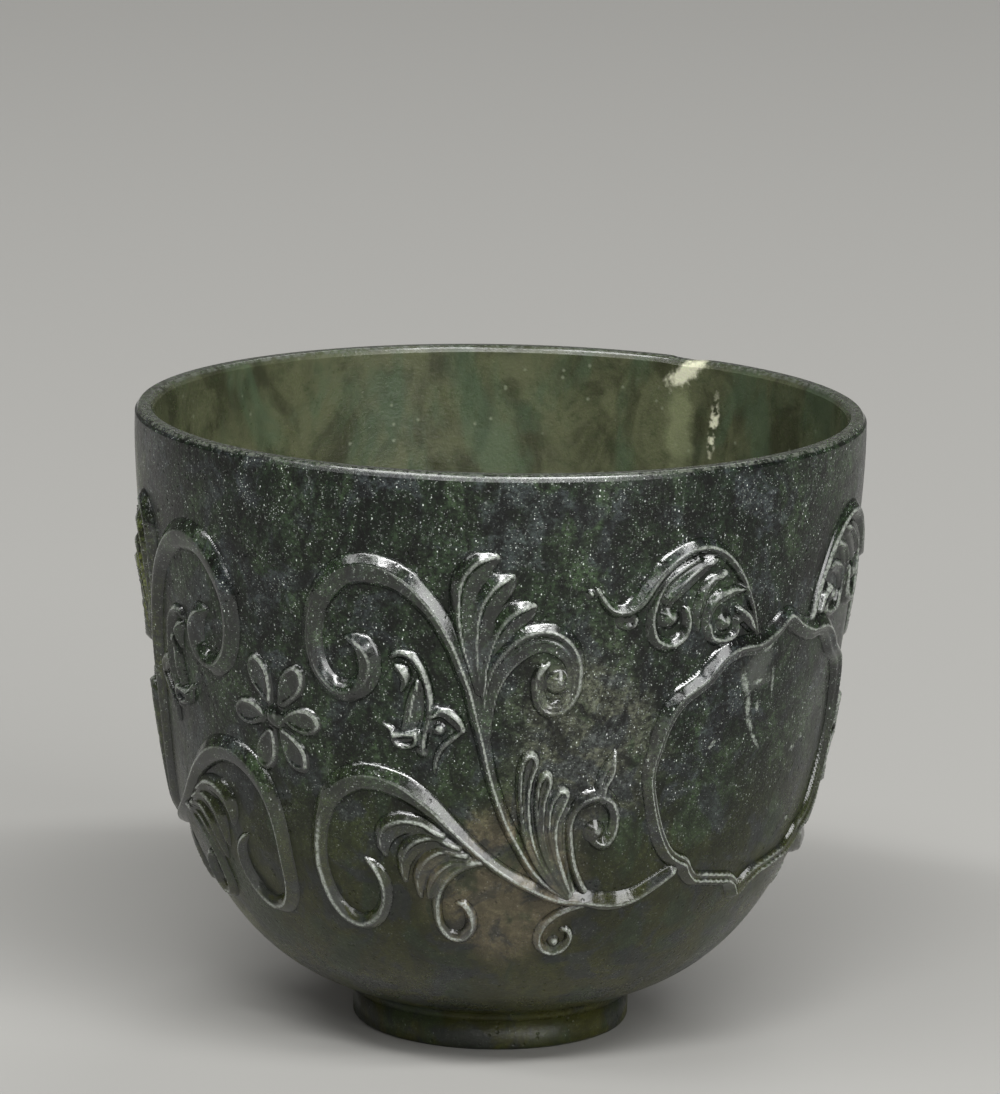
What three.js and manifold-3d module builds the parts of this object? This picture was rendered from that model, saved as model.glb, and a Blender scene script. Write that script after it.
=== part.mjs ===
// A jade cup: a thin turned bowl on a low foot ring, with a band of ornament carved in low relief
// round its wall. Millimetres, +Z up, the origin at the middle of the foot's bottom face.
// A lobed cartouche faces -Y and another faces +Y. A flower sits between them on -X and on +X.
import * as THREE from "three";
import Module from "manifold-3d";

// Turned body
const HEIGHT = 62; // foot's bottom face to the top of the lip
const RIM_RADIUS = 36; // outside, at the lip
const LIP_THICKNESS = 1.9; // the wall at the lip
const LIP_ROUNDING = 0.5; // of the lip's two edges, which leave a flat between them
const WALL_END = 0.95; // how far below the lip's top the wall's curve ends
const FLOOR_THICKNESS = 3.6; // the wall at the middle of the floor
const RIM_STRAIGHT = 11.3; // how far down the wall stays nearly upright
const RIM_SWELL = 0.27; // how far the wall swells out under the lip
const BELLY_RADIUS = 31.3; // outside, where the wall turns in
const BELLY_HEIGHT = 22.2; // where the wall turns in
const BELLY_SLOPE = 68.5; // degrees from the horizontal, at that place
const BELLY_ROUNDING = 15.2; // how far the turn reaches down from there
const WALL_ROUNDING = 2.9; // and up from there
const UNDERSIDE_REACH = 19; // how far the flat underside reaches out
const UNDERSIDE_HEIGHT = 2.4; // underside's middle above the table

// Foot ring
const FOOT_RADIUS = 13.8;
const FOOT_WIDTH = 2.9;
const FOOT_CHAMFER = 0.5;
const SEAT_DROP = 0.25; // the pad over the foot hangs this far below the underside

// Carved relief
const RELIEF_HEIGHT = 0.9; // tops of the carving above the wall
const RELIEF_GAP = 0.3; // between the wall and the carving's back, and from one motif to the next
const BEVEL = 0.5; // how far a top's edge lies inside its foot
const PLAIN_BAND = 7; // plain wall between the lip and the carving, along the wall
const CARVED_BAND = 43; // depth of the carving, along the wall

// The ornament is drawn on a flat sheet: x round the wall, y down it. The sheet spans a quarter turn,
// from the flower's middle to the cartouche's middle, and the other quarters are its mirror images.
const FLOWER_X = -23.9;
const CARTOUCHE_X = 32.65;
const SHEET_TOP = 7;
const SHEET_BOTTOM = 50;
const SCROLL_SHIFT = 3.5; // the carver set one quarter's lower scroll this much nearer the flower
const SHIFT_FROM = 9; // no shift right of this x
const SHIFT_TO = -4; // the full shift left of this x

const TURN_STEPS = 60; // facets round the bowl
const WALL_STEPS = 15; // facets up the outer wall
const CAVITY_STEPS = 9; // facets down the inner wall
const LIP_STEPS = 2; // facets round each edge of the lip
const DOT_STEPS = 8;
const STRAIGHT_FACET = 5; // longest facet along a stroke
const TURN_FACET = THREE.MathUtils.degToRad(42); // most that a stroke turns in one facet

const wasm = await Module();
wasm.setup();

// Turned body

const slope = THREE.MathUtils.degToRad(BELLY_SLOPE);
const upTheWall = new THREE.Vector2(Math.cos(slope), Math.sin(slope));
const belly = new THREE.Vector2(BELLY_RADIUS, BELLY_HEIGHT);

// The outer wall from the axis out and up to the lip, as (radius, height).
const outerWall = new THREE.CurvePath();
outerWall.add(
  new THREE.CubicBezierCurve(
    new THREE.Vector2(0, UNDERSIDE_HEIGHT),
    new THREE.Vector2(UNDERSIDE_REACH, UNDERSIDE_HEIGHT),
    belly.clone().addScaledVector(upTheWall, -BELLY_ROUNDING),
    belly,
  ),
);
outerWall.add(
  new THREE.CubicBezierCurve(
    belly,
    belly.clone().addScaledVector(upTheWall, WALL_ROUNDING),
    new THREE.Vector2(RIM_RADIUS + RIM_SWELL, HEIGHT - RIM_STRAIGHT),
    new THREE.Vector2(RIM_RADIUS, HEIGHT - WALL_END),
  ),
);
const wallLength = outerWall.getLength();

// The outward normal of the wall, at a share of its length from the axis.
function outwardAt(share) {
  const along = outerWall.getTangent(share);
  return new THREE.Vector2(along.y, -along.x);
}

// The share of the wall's length at which it has this radius, below the belly.
function shareAtRadius(radius) {
  let low = 0;
  let high = 1;
  while (high - low > 1e-6) {
    const middle = (low + high) / 2;
    if (outerWall.getPoint(middle).x < radius) low = middle;
    else high = middle;
  }
  return low;
}

const footInner = FOOT_RADIUS - FOOT_WIDTH;
const seatHeight = outerWall.getPoint(shareAtRadius(footInner)).y - SEAT_DROP;

function bowlProfile() {
  const padInner = shareAtRadius(footInner);
  const padOuter = shareAtRadius(FOOT_RADIUS);
  const profile = [outerWall.getPoint(0), outerWall.getPoint(padInner)];
  profile.push(new THREE.Vector2(footInner, seatHeight));
  profile.push(new THREE.Vector2(FOOT_RADIUS, seatHeight));
  for (let i = 0; i <= WALL_STEPS; i++)
    profile.push(outerWall.getPoint(padOuter + ((1 - padOuter) * i) / WALL_STEPS));
  for (const inner of [0, 1]) {
    const middle = inner ? RIM_RADIUS - LIP_THICKNESS + LIP_ROUNDING : RIM_RADIUS - LIP_ROUNDING;
    for (let i = 0; i <= LIP_STEPS; i++) {
      const turn = (Math.PI / 2) * (inner + i / LIP_STEPS);
      profile.push(
        new THREE.Vector2(
          middle + LIP_ROUNDING * Math.cos(turn),
          HEIGHT - LIP_ROUNDING + LIP_ROUNDING * Math.sin(turn),
        ),
      );
    }
  }
  for (let i = 0; i <= CAVITY_STEPS; i++) {
    const share = 1 - i / CAVITY_STEPS;
    const thickness = THREE.MathUtils.lerp(LIP_THICKNESS, FLOOR_THICKNESS, (1 - share) ** 2);
    profile.push(outerWall.getPoint(share).addScaledVector(outwardAt(share), -thickness));
  }
  profile[0].x = 0;
  profile[profile.length - 1].x = 0;
  return profile;
}

function footProfile() {
  return [
    new THREE.Vector2(footInner, seatHeight),
    new THREE.Vector2(footInner, FOOT_CHAMFER),
    new THREE.Vector2(footInner + FOOT_CHAMFER, 0),
    new THREE.Vector2(FOOT_RADIUS - FOOT_CHAMFER, 0),
    new THREE.Vector2(FOOT_RADIUS, FOOT_CHAMFER),
    new THREE.Vector2(FOOT_RADIUS, seatHeight),
    new THREE.Vector2(footInner, seatHeight),
  ];
}

function turned(profile) {
  return new THREE.LatheGeometry(profile, TURN_STEPS).rotateX(Math.PI / 2);
}

// Carving. A stroke is a list of [x, y, width] on the sheet, joined by a smooth curve, and a dot is
// [x, y, radius].

// The point of the sheet at (x, y), laid on the wall and lifted off it.
function onWall(x, y, lift) {
  const angle = ((x - CARTOUCHE_X) / (CARTOUCHE_X - FLOWER_X)) * (Math.PI / 2);
  const fromLip = PLAIN_BAND + ((y - SHEET_TOP) / (SHEET_BOTTOM - SHEET_TOP)) * CARVED_BAND;
  const share = 1 - (fromLip - WALL_END) / wallLength;
  const spot = outerWall.getPoint(share).addScaledVector(outwardAt(share), lift);
  return [spot.x * Math.sin(angle), -spot.x * Math.cos(angle), spot.y];
}

function solid(points, triangles) {
  const mesh = new wasm.Mesh({
    numProp: 3,
    vertProperties: new Float32Array(points.flat()),
    triVerts: new Uint32Array(triangles),
  });
  return new wasm.Manifold(mesh);
}

// Places along a stroke's curve, from 0 to 1, closer together where it turns.
function placesAlong(curve) {
  const samples = 96;
  const reach = curve.getLength() / samples;
  const heading = (i) => curve.getTangentAt(i / samples).setZ(0);
  const need = [0];
  for (let i = 1; i <= samples; i++) {
    const turn = heading(i).angleTo(heading(i - 1));
    need.push(need[i - 1] + reach / STRAIGHT_FACET + turn / TURN_FACET);
  }
  const steps = Math.max(3, Math.ceil(need[samples]));
  const places = [0];
  for (let step = 1; step < steps; step++) {
    const wanted = (need[samples] * step) / steps;
    const i = need.findIndex((sum) => sum >= wanted);
    places.push((i - (need[i] - wanted) / (need[i] - need[i - 1])) / samples);
  }
  return [...places, 1];
}

// A raised band along a stroke, from one lift to another, with bevelled sides. It grows by a margin
// all round where it serves to cut its neighbours.
function band(stroke, low, high, margin, closed) {
  const curve = new THREE.CatmullRomCurve3(
    stroke.map(([x, y, width]) => new THREE.Vector3(x, y, width)),
    closed,
    "centripetal",
  );
  const places = placesAlong(curve);
  const steps = places.length - 1;
  const rows = closed ? steps : steps + 1;
  const points = [];
  for (let i = 0; i < rows; i++) {
    const at = curve.getPointAt(places[i]);
    const along = curve.getTangentAt(places[i]);
    const length = Math.hypot(along.x, along.y);
    const [dx, dy] = [along.x / length, along.y / length];
    const past = closed ? 0 : i === 0 ? -margin : i === steps ? margin : 0;
    const foot = at.z / 2 + margin;
    const top = foot - Math.min(BEVEL, foot / 2);
    for (const [side, lift] of [[foot, low], [top, high], [-top, high], [-foot, low]])
      points.push(onWall(at.x + dx * past - dy * side, at.y + dy * past + dx * side, lift));
  }
  const triangles = [];
  for (let i = 0; i < steps; i++) {
    const here = i * 4;
    const next = ((i + 1) % rows) * 4;
    for (let k = 0; k < 4; k++) {
      const k1 = (k + 1) % 4;
      triangles.push(here + k, next + k, next + k1, here + k, next + k1, here + k1);
    }
  }
  if (!closed) {
    const end = steps * 4;
    triangles.push(0, 1, 2, 0, 2, 3);
    triangles.push(end, end + 2, end + 1, end, end + 3, end + 2);
  }
  return solid(points, triangles);
}

// A raised round knob.
function dot([x, y, radius], low, high, margin) {
  const foot = radius + margin;
  const top = foot - Math.min(BEVEL, foot / 2);
  const points = [onWall(x, y, low), onWall(x, y, high)];
  for (let i = 0; i < DOT_STEPS; i++) {
    const turn = (2 * Math.PI * i) / DOT_STEPS;
    points.push(onWall(x + foot * Math.cos(turn), y - foot * Math.sin(turn), low));
    points.push(onWall(x + top * Math.cos(turn), y - top * Math.sin(turn), high));
  }
  const triangles = [];
  for (let i = 0; i < DOT_STEPS; i++) {
    const here = 2 + 2 * i;
    const next = 2 + 2 * ((i + 1) % DOT_STEPS);
    triangles.push(0, next, here, 1, here + 1, next + 1);
    triangles.push(here, next, next + 1, here, next + 1, here + 1);
  }
  return solid(points, triangles);
}

function joined({ strokes = [], dots = [], closed = false }, low, high, margin) {
  const bodies = strokes.map((stroke) => band(stroke, low, high, margin, closed));
  bodies.push(...dots.map((spot) => dot(spot, low, high, margin)));
  return bodies.reduce((sum, body) => sum.add(body));
}

function raised(motif) {
  return joined(motif, RELIEF_GAP, RELIEF_HEIGHT, 0);
}

// What a motif takes away from the ones laid beneath it, with the gap all round.
function cutter(motif) {
  return joined(motif, -RELIEF_HEIGHT, 2 * RELIEF_HEIGHT, RELIEF_GAP);
}

function largestBody(body) {
  return body.decompose().reduce((best, one) => (one.volume() > best.volume() ? one : best));
}

function geometryOf(body) {
  const mesh = body.getMesh();
  const geometry = new THREE.BufferGeometry();
  const step = mesh.numProp;
  const positions = new Float32Array(mesh.numVert * 3);
  for (let i = 0; i < mesh.numVert; i++)
    positions.set(mesh.vertProperties.subarray(i * step, i * step + 3), i * 3);
  geometry.setAttribute("position", new THREE.BufferAttribute(positions, 3));
  geometry.setIndex(new THREE.BufferAttribute(mesh.triVerts, 1));
  return geometry;
}

// Motifs

// Half of the cartouche's frame, from its upper tip to its lower one.
const halfFrame = [
  [32, 16.15, 2.1], [30.85, 16.95, 2.2], [29.4, 17.65, 2.3], [27.9, 18.1, 2.3], [26.4, 18.05, 2.3],
  [24.9, 18.3, 2.4], [23.7, 18.9, 2.4], [22.75, 19.75, 2.4], [21.7, 20.8, 2.3], [20.5, 21.5, 2.3],
  [19.2, 22.3, 2.3], [18.2, 23.5, 2.2], [17.55, 24.9, 2], [17, 26.8, 1.8], [16.4, 29.2, 1.7],
  [16.4, 30.5, 1.6], [16.9, 32.7, 1.6], [17.65, 35, 1.7], [18.5, 36.8, 1.8], [19.6, 38.3, 1.8],
  [20.9, 39.2, 1.8], [22, 39.7, 1.8], [22.7, 40.6, 1.8], [23.9, 41.6, 1.8], [25.9, 42, 1.8],
  [28.1, 42.4, 1.8], [30.1, 42.8, 1.8], [31.4, 43.6, 1.9],
];

function frameOutline() {
  const right = halfFrame.map(([x, y, width]) => [2 * CARTOUCHE_X - x, y, width]).reverse();
  return [[CARTOUCHE_X, 15.9, 2], ...halfFrame, [CARTOUCHE_X, 44.7, 2], ...right];
}

const cartouche = { strokes: [frameOutline()], closed: true };

// One quarter's motifs, the uppermost first. Each is cut back where an earlier one lies.
const quarterMotifs = {
  lower_scroll: {
    shifts: true,
    strokes: [
      [
        [10, 42.8, 1.7], [7, 42.2, 1.9], [4.5, 41.1, 1.8], [2, 39.8, 1.6], [0, 38.5, 1.6],
        [-2, 36.9, 1.7], [-4, 35.1, 2], [-6, 33.3, 2.3], [-8, 31.9, 2.6], [-10, 30.85, 2.9],
        [-12.2, 30.3, 3], [-14.5, 30.45, 3], [-16.7, 31.6, 2.9], [-18.3, 33.5, 2.5],
        [-19.3, 36, 2.1], [-19.75, 39, 2], [-19.6, 42, 2], [-18.9, 44.4, 2.1], [-17.5, 46, 2.2],
        [-15.6, 46.5, 2.1], [-13.7, 45.6, 1.9], [-12.5, 43.8, 1.7], [-12.1, 41.8, 1.7],
        [-12.5, 40.2, 1.5], [-13.3, 39.3, 1],
      ],
      [
        [7.5, 42.4, 1.6], [10.5, 42.7, 2], [12.5, 43.1, 2.3], [14.5, 43.2, 2.2], [16.5, 42.7, 2],
        [18.5, 41.6, 1.9], [20.6, 40.2, 1.7],
      ],
    ],
  },
  main_scroll: {
    strokes: [
      [
        [8.4, 42.3, 1.2], [6.2, 40.8, 1.5], [4.3, 39, 1.6], [2.8, 36.8, 1.5], [1.4, 34.3, 1.5],
        [0.2, 31.3, 1.5], [-0.6, 28.6, 1.6], [-1.1, 26.3, 1.7], [-1.7, 23.8, 1.9], [-2.4, 21, 2],
        [-3.3, 18.5, 2.1], [-4.4, 15.9, 2.2], [-6.4, 12.85, 2.4], [-9.2, 10.4, 2.9], [-12, 9.5, 3.3],
        [-14.9, 9.95, 3.1], [-17.05, 11.9, 2.8], [-18.4, 14.5, 2.4], [-18.7, 17.5, 2.4],
        [-17.9, 20.2, 2.3], [-16.1, 21.75, 2.3], [-14.2, 21.6, 2.4], [-12.9, 20.3, 2.6],
        [-12.7, 18.3, 2.8], [-13.5, 16.9, 2.2], [-14.4, 16.5, 1.2],
      ],
      [
        [-1, 26.5, 1.2], [-0.95, 23.5, 1.6], [-0.7, 21, 2.1], [0.15, 18.6, 2.7], [1.5, 16.9, 3],
        [3.2, 15.75, 3.2], [4.9, 15.5, 3.2], [6.4, 16.2, 2.9], [7.4, 17.5, 2.3], [7.85, 19.2, 1.8],
        [7.6, 21.1, 1.7], [6.7, 22.4, 1.8], [5.5, 22.8, 1.8], [4.5, 22.1, 1.7], [4.05, 20.8, 1.5],
        [4.05, 19.6, 1.4], [4.5, 18.65, 1],
      ],
    ],
    dots: [[6.05, 20, 1.25]],
  },
  side_curl: {
    strokes: [
      [
        [10.2, 41.6, 1.1], [9.4, 40.3, 1.1], [8.7, 38.8, 1.1], [8.3, 37.3, 1.1], [8.05, 35.8, 1.1],
        [8, 34.3, 1.2], [8.5, 32.9, 1.4], [9.7, 31.9, 1.8], [11.2, 31.6, 2], [12.4, 32.5, 1.6],
        [12.9, 34, 1.4], [12.7, 35.7, 1.5], [11.9, 36.6, 1.6], [10.9, 36.3, 1.3],
      ],
      [[11.3, 32, 1.2], [11.15, 30.6, 1.5], [11.65, 29.2, 1.8], [12.1, 28, 1.1], [12.4, 27, 0.6]],
    ],
    dots: [[10.75, 35.3, 1.2]],
  },
  acanthus_fan: {
    strokes: [
      [
        [8.4, 42.2, 0.9], [6.3, 40.2, 1.3], [4.6, 37.8, 1.5], [3.6, 35.3, 1.6], [3.15, 32.5, 1.7],
        [3.1, 29.9, 2], [3.5, 28, 2.2], [3.7, 27.5, 1.6],
      ],
      [
        [8.5, 42, 0.9], [6.8, 39.6, 1.2], [5.4, 36.8, 1.4], [4.8, 34, 1.5], [4.75, 31.6, 1.8],
        [5.1, 30, 2], [5.3, 29.4, 1.5],
      ],
      [
        [8.7, 41.8, 0.9], [7.3, 39, 1.2], [6.4, 36.5, 1.4], [6.1, 34.2, 1.7], [6.5, 32.2, 2.2],
        [7, 31.3, 1.9],
      ],
    ],
  },
  upper_leaves: {
    strokes: [
      [
        [-1.9, 21, 1], [-2.6, 18.2, 1.6], [-3.2, 15, 2.2], [-3.3, 12, 2.7], [-2.8, 9.9, 3.1],
        [-1.6, 8.5, 2.8], [-0.3, 7.8, 1.2],
      ],
      [
        [-1.7, 21, 1], [-1.7, 18, 1.8], [-1.6, 15, 2.4], [-1, 12.4, 3], [0.2, 10.7, 2.9],
        [1.2, 9.8, 1.3],
      ],
      [
        [-1.3, 21.5, 1], [-0.8, 18.6, 1.8], [-0.1, 16.2, 2.4], [1, 14.2, 2.9], [2.3, 13.1, 2.7],
        [3.4, 12.5, 1],
      ],
    ],
  },
  crest: {
    strokes: [
      [
        [9.9, 11.8, 0.8], [10.5, 12.4, 1.1], [11.3, 13, 1.5], [12.6, 13.1, 1.8], [13.8, 12.3, 1.9],
        [14.9, 10.8, 1.9], [16, 9.5, 1.8], [17.4, 8.3, 1.8], [19.2, 7.7, 1.8], [20.9, 7.7, 1.6],
        [22.6, 8.2, 1.4], [24.2, 9.6, 1.2], [25.6, 11.4, 1], [26.6, 13.2, 0.9], [27.4, 15, 0.9],
        [28, 16.9, 0.9],
      ],
      [[21.6, 8.8, 1.2], [19.9, 9.8, 1.9], [18.2, 11.1, 2], [16.9, 12.4, 1.5]],
      [
        [20, 8.7, 0.6], [18.2, 9.5, 0.8], [16.4, 10.8, 0.9], [15.4, 12.8, 1.1], [15.2, 14.6, 1.2],
        [15.8, 16.3, 1.4], [17.3, 16.9, 1.6], [18.7, 16.2, 1.4], [19.2, 14.8, 1.2], [18.9, 13.5, 0.9],
      ],
      [[23, 10.3, 0.9], [21.7, 11, 1.5], [20.7, 12.3, 1.6], [20.3, 14, 1.3], [20.5, 15.6, 0.7]],
      [[25.7, 12.1, 0.8], [24, 12.4, 1.4], [22.3, 13, 1.6], [21.5, 14.4, 1.3], [21.6, 15.8, 1.1]],
      [[21.6, 15.4, 1], [22.1, 16.7, 1.1], [23.6, 17.1, 1.1], [25, 16.6, 1], [25.2, 15.2, 0.9]],
    ],
    dots: [[12.3, 13.3, 1.45], [17.1, 14.2, 1.15], [23.6, 15.3, 0.95]],
  },
  lower_leaves: {
    shifts: true,
    strokes: [
      [
        [-5.2, 35.6, 1], [-7.4, 34.8, 1.9], [-9.6, 34.7, 2.5], [-11.3, 35.5, 2.7],
        [-11.9, 36.8, 2], [-11.7, 38.1, 0.8],
      ],
      [
        [-3.6, 36.8, 1], [-6, 36.1, 1.8], [-8, 36.6, 2.3], [-9.3, 37.9, 2.2], [-9.7, 39.4, 1.5],
        [-9.6, 40.8, 0.8],
      ],
      [
        [-2.8, 37.6, 1], [-5, 37.4, 1.7], [-6.8, 38.3, 2], [-7.9, 39.9, 1.7], [-8.1, 41.4, 1.2],
        [-8, 42.6, 0.8],
      ],
      [
        [-1.3, 38.2, 1.2], [-3.5, 38.9, 1.4], [-5, 40.2, 1.3], [-6, 42, 1.3], [-6.3, 44, 1.3],
        [-6, 46, 1.4], [-4.9, 47.2, 1.5], [-3.5, 47.3, 1.6], [-2.5, 46.2, 1.6], [-2.4, 44.6, 1.5],
        [-3.2, 43.2, 1.1],
      ],
    ],
  },
  pendant_bud: {
    strokes: [
      [
        [-10.3, 17.9, 0.7], [-9.5, 17.5, 1.1], [-8.3, 17.7, 1.3], [-7.4, 18.8, 1.3],
        [-6.8, 20.3, 1.2], [-6.5, 22, 1.2], [-6.6, 23.8, 1.2], [-7.1, 25.6, 1], [-7.3, 26.8, 0.9],
      ],
      [[-7.6, 20.3, 0.9], [-7.9, 22.2, 1.9], [-8.2, 24, 2.1], [-8.7, 25.8, 2]],
      [[-6.5, 23.6, 0.9], [-5.3, 23.1, 1.3], [-4, 23.8, 1.5], [-3.2, 24.9, 0.8]],
    ],
    dots: [[-9, 19.2, 1], [-8.9, 25.9, 1.15], [-5.7, 24.9, 0.8]],
  },
  foot_spiral: {
    strokes: [
      [
        [10.6, 43.3, 0.9], [8.8, 43.8, 1], [7.3, 44.5, 1.1], [6.1, 45.7, 1.2], [5.6, 47.2, 1.3],
        [6.1, 48.6, 1.4], [7.5, 49.2, 1.5], [8.9, 48.8, 1.3], [9.5, 47.6, 1.1], [9.1, 46.5, 0.9],
      ],
    ],
    dots: [[7.6, 48, 0.8]],
  },
};

// Six petals round a boss, each with its turn in degrees and its reach. A petal's widths stand at
// shares of its reach.
const FLOWER_Y = 25.6;
const FLOWER_BOSS = 1.3;
const FLOWER_PETALS = [[0, 5.2], [57, 5.8], [113, 5.8], [180, 5.2], [247, 6.2], [303, 6.2]];
const PETAL_WIDTHS = [[0.1, 1.2], [0.3, 1.3], [0.5, 2.4], [0.72, 3], [0.86, 2.4], [0.95, 1.2]];

function flowerMotif() {
  const strokes = FLOWER_PETALS.map(([degrees, reach]) => {
    const turn = THREE.MathUtils.degToRad(degrees);
    return PETAL_WIDTHS.map(([share, width]) => [
      FLOWER_X + reach * share * Math.cos(turn),
      FLOWER_Y + reach * share * Math.sin(turn),
      width,
    ]);
  });
  return { strokes, dots: [[FLOWER_X, FLOWER_Y, FLOWER_BOSS]] };
}

function shiftedX(x) {
  const share = THREE.MathUtils.smoothstep(-x, -SHIFT_FROM, -SHIFT_TO);
  return x - SCROLL_SHIFT * share;
}

function movedStrokes(motif, place) {
  const move = ([x, y, width]) => [place(x), y, width];
  return { ...motif, strokes: motif.strokes.map((stroke) => stroke.map(move)) };
}

function shiftedMotif(motif) {
  return motif.shifts ? movedStrokes(motif, shiftedX) : motif;
}

// Across the flower's middle, as the next quarter has it.
function mirroredMotif(motif) {
  return movedStrokes(motif, (x) => 2 * FLOWER_X - x);
}

// Each motif as a geometry, cut back by the ones above it.
function carvedQuarter(prepare) {
  const geometries = {};
  let above = cutter(cartouche);
  for (const [name, plain] of Object.entries(quarterMotifs)) {
    const motif = prepare(plain);
    geometries[name] = geometryOf(largestBody(raised(motif).subtract(above)));
    above = above.add(cutter(motif));
  }
  return geometries;
}

function flowerGeometry() {
  const { lower_scroll: lower, main_scroll: main } = quarterMotifs;
  const near = [main, lower, mirroredMotif(main), mirroredMotif(shiftedMotif(lower))];
  const body = near.reduce((rest, motif) => rest.subtract(cutter(motif)), raised(flowerMotif()));
  return geometryOf(largestBody(body));
}

// Assembly

function jade(color, roughness) {
  return new THREE.MeshStandardMaterial({ color, roughness, metalness: 0 });
}

function mesh(name, geometry, material) {
  const piece = new THREE.Mesh(geometry, material);
  piece.name = name;
  return piece;
}

const bodyJade = jade(0x2f4a34, 0.28);
const carvedJade = jade(0x3a5a3c, 0.3);
const footJade = jade(0x2a3f2e, 0.34);

const cup = new THREE.Group();
cup.add(mesh("bowl", turned(bowlProfile()), bodyJade));
cup.add(mesh("foot_ring", turned(footProfile()), footJade));

const frameGeometry = geometryOf(raised(cartouche));
const blossomGeometry = flowerGeometry();
const halfTurn = new THREE.Group();
halfTurn.rotation.z = Math.PI;
cup.add(mesh("front_cartouche_frame", frameGeometry, carvedJade));
halfTurn.add(mesh("back_cartouche_frame", frameGeometry, carvedJade));
cup.add(mesh("left_flower", blossomGeometry, carvedJade));
halfTurn.add(mesh("right_flower", blossomGeometry, carvedJade));
cup.add(halfTurn);

const evenQuarter = carvedQuarter((motif) => motif);
const shiftedQuarter = carvedQuarter(shiftedMotif);
const quarters = [
  { side: "front_left", mirror: [1, 1], geometries: evenQuarter },
  { side: "front_right", mirror: [-1, 1], geometries: evenQuarter },
  { side: "back_left", mirror: [1, -1], geometries: shiftedQuarter },
  { side: "back_right", mirror: [-1, -1], geometries: evenQuarter },
];
for (const { side, mirror, geometries } of quarters) {
  const quarter = new THREE.Group();
  quarter.scale.set(mirror[0], mirror[1], 1);
  for (const [name, geometry] of Object.entries(geometries))
    quarter.add(mesh(side + "_" + name, geometry, carvedJade));
  cup.add(quarter);
}

export default cup;
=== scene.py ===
"""A jade cup: a thin turned bowl on a low foot ring, with ornament carved in low relief round it."""

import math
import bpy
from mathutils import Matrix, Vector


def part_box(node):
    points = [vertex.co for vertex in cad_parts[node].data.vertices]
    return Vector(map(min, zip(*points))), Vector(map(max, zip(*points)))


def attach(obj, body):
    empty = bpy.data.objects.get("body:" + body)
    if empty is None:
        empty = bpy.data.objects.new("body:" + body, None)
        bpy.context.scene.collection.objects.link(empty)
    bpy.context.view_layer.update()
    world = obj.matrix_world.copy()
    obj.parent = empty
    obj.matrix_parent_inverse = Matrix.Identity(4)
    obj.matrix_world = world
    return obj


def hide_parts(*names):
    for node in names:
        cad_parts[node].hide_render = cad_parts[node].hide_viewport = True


bl_info = {
    "name": "Carved jade cup",
    "version": (1, 0, 0),
    "blender": (4, 5, 0),
    "location": "3D View > Sidebar > Jade cup",
    "description": "Turns and carves a jade cup on its modelled frame",
    "category": "Add Mesh",
}

import bpy
import numpy as np
from bpy.props import FloatProperty, FloatVectorProperty, IntProperty, PointerProperty
from mathutils import Matrix, Vector

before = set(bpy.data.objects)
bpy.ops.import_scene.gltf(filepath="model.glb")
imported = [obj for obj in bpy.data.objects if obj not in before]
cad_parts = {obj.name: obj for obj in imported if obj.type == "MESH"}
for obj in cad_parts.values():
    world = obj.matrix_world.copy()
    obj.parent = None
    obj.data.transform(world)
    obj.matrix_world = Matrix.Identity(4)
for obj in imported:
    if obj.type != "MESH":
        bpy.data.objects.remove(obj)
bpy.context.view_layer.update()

MM = 0.001
BODY = "root"
BOWL_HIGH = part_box("bowl")[1]
FOOT_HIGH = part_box("foot_ring")[1]
RIM_RADIUS = BOWL_HIGH.x
HEIGHT = BOWL_HIGH.z
FOOT_RADIUS = FOOT_HIGH.x
SEAT_HEIGHT = FOOT_HIGH.z  # where the foot ring meets the bowl

# The wall's section, as part of the frame has it
LIP_THICKNESS = 1.9 * MM
LIP_RADIUS = LIP_THICKNESS / 2
# The lip's edge, in stretches: the angle that each one turns to, in degrees, and its radius
LIP_EDGE = ((32, 0.1 * MM), (34, 17 * MM), (90, 0.25 * MM))
FLOOR_THICKNESS = 3.6 * MM
RIM_STRAIGHT = 11.3 * MM
RIM_SWELL = 0.27 * MM
BELLY = np.array([31.3, 22.2]) * MM
BELLY_SLOPE = math.radians(68.5)
BELLY_ROUNDING = 15.2 * MM
WALL_ROUNDING = 2.9 * MM
UNDERSIDE_REACH = 19 * MM
UNDERSIDE_HEIGHT = 2.4 * MM
FOOT_WIDTH = 2.9 * MM
FOOT_ROUNDING = 0.55 * MM
FOOT_FILLET = 1.1 * MM  # the hollow where the foot runs into the bowl
ON_AXIS = 1e-6  # a section that starts nearer to the axis than this is closed by it

# How finely curves are cut: the whole wall, the bowl's section and a round corner
WALL_STEPS = 400
SECTION_STEPS = 150
CORNER_STEPS = 6

# The ornament is drawn on a flat sheet, in millimetres: x round the wall, y down from the lip
FLOWER_X, FLOWER_Y = -23.9, 25.6
# The petals: their turn in degrees and their length; then the share of it and the width along one
FLOWER_PETALS = ((0, 5.2), (57, 5.8), (113, 5.8), (180, 5.2), (247, 6.2), (303, 6.2))
PETAL_WIDTHS = ((0.3, 1.3), (0.5, 2.4), (0.72, 3.0), (0.86, 2.4), (0.95, 1.2))
CARTOUCHE_X = 32.65
RELIEF_BACK = 0.45  # how far the carving's closed back lies inside the wall
RELIEF_SKIRT = 0.2  # how far its rim dips under the wall's surface
STEEP = 2.2  # how steeply a step rises, in reliefs per millimetre
SCROLL_SHIFT = 3.5  # one quarter's lower scroll sits this much nearer the flower
SHIFT_FROM, SHIFT_TO = 9.0, -4.0  # where on the sheet that move sets in, and where it is full

# The pale vein in the lip, and the marks that run from it down the cavity
VEIN_CENTRE = np.array([34, 2.4, 60.7]) * MM
VEIN_REACH = 1.5 * MM

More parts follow.
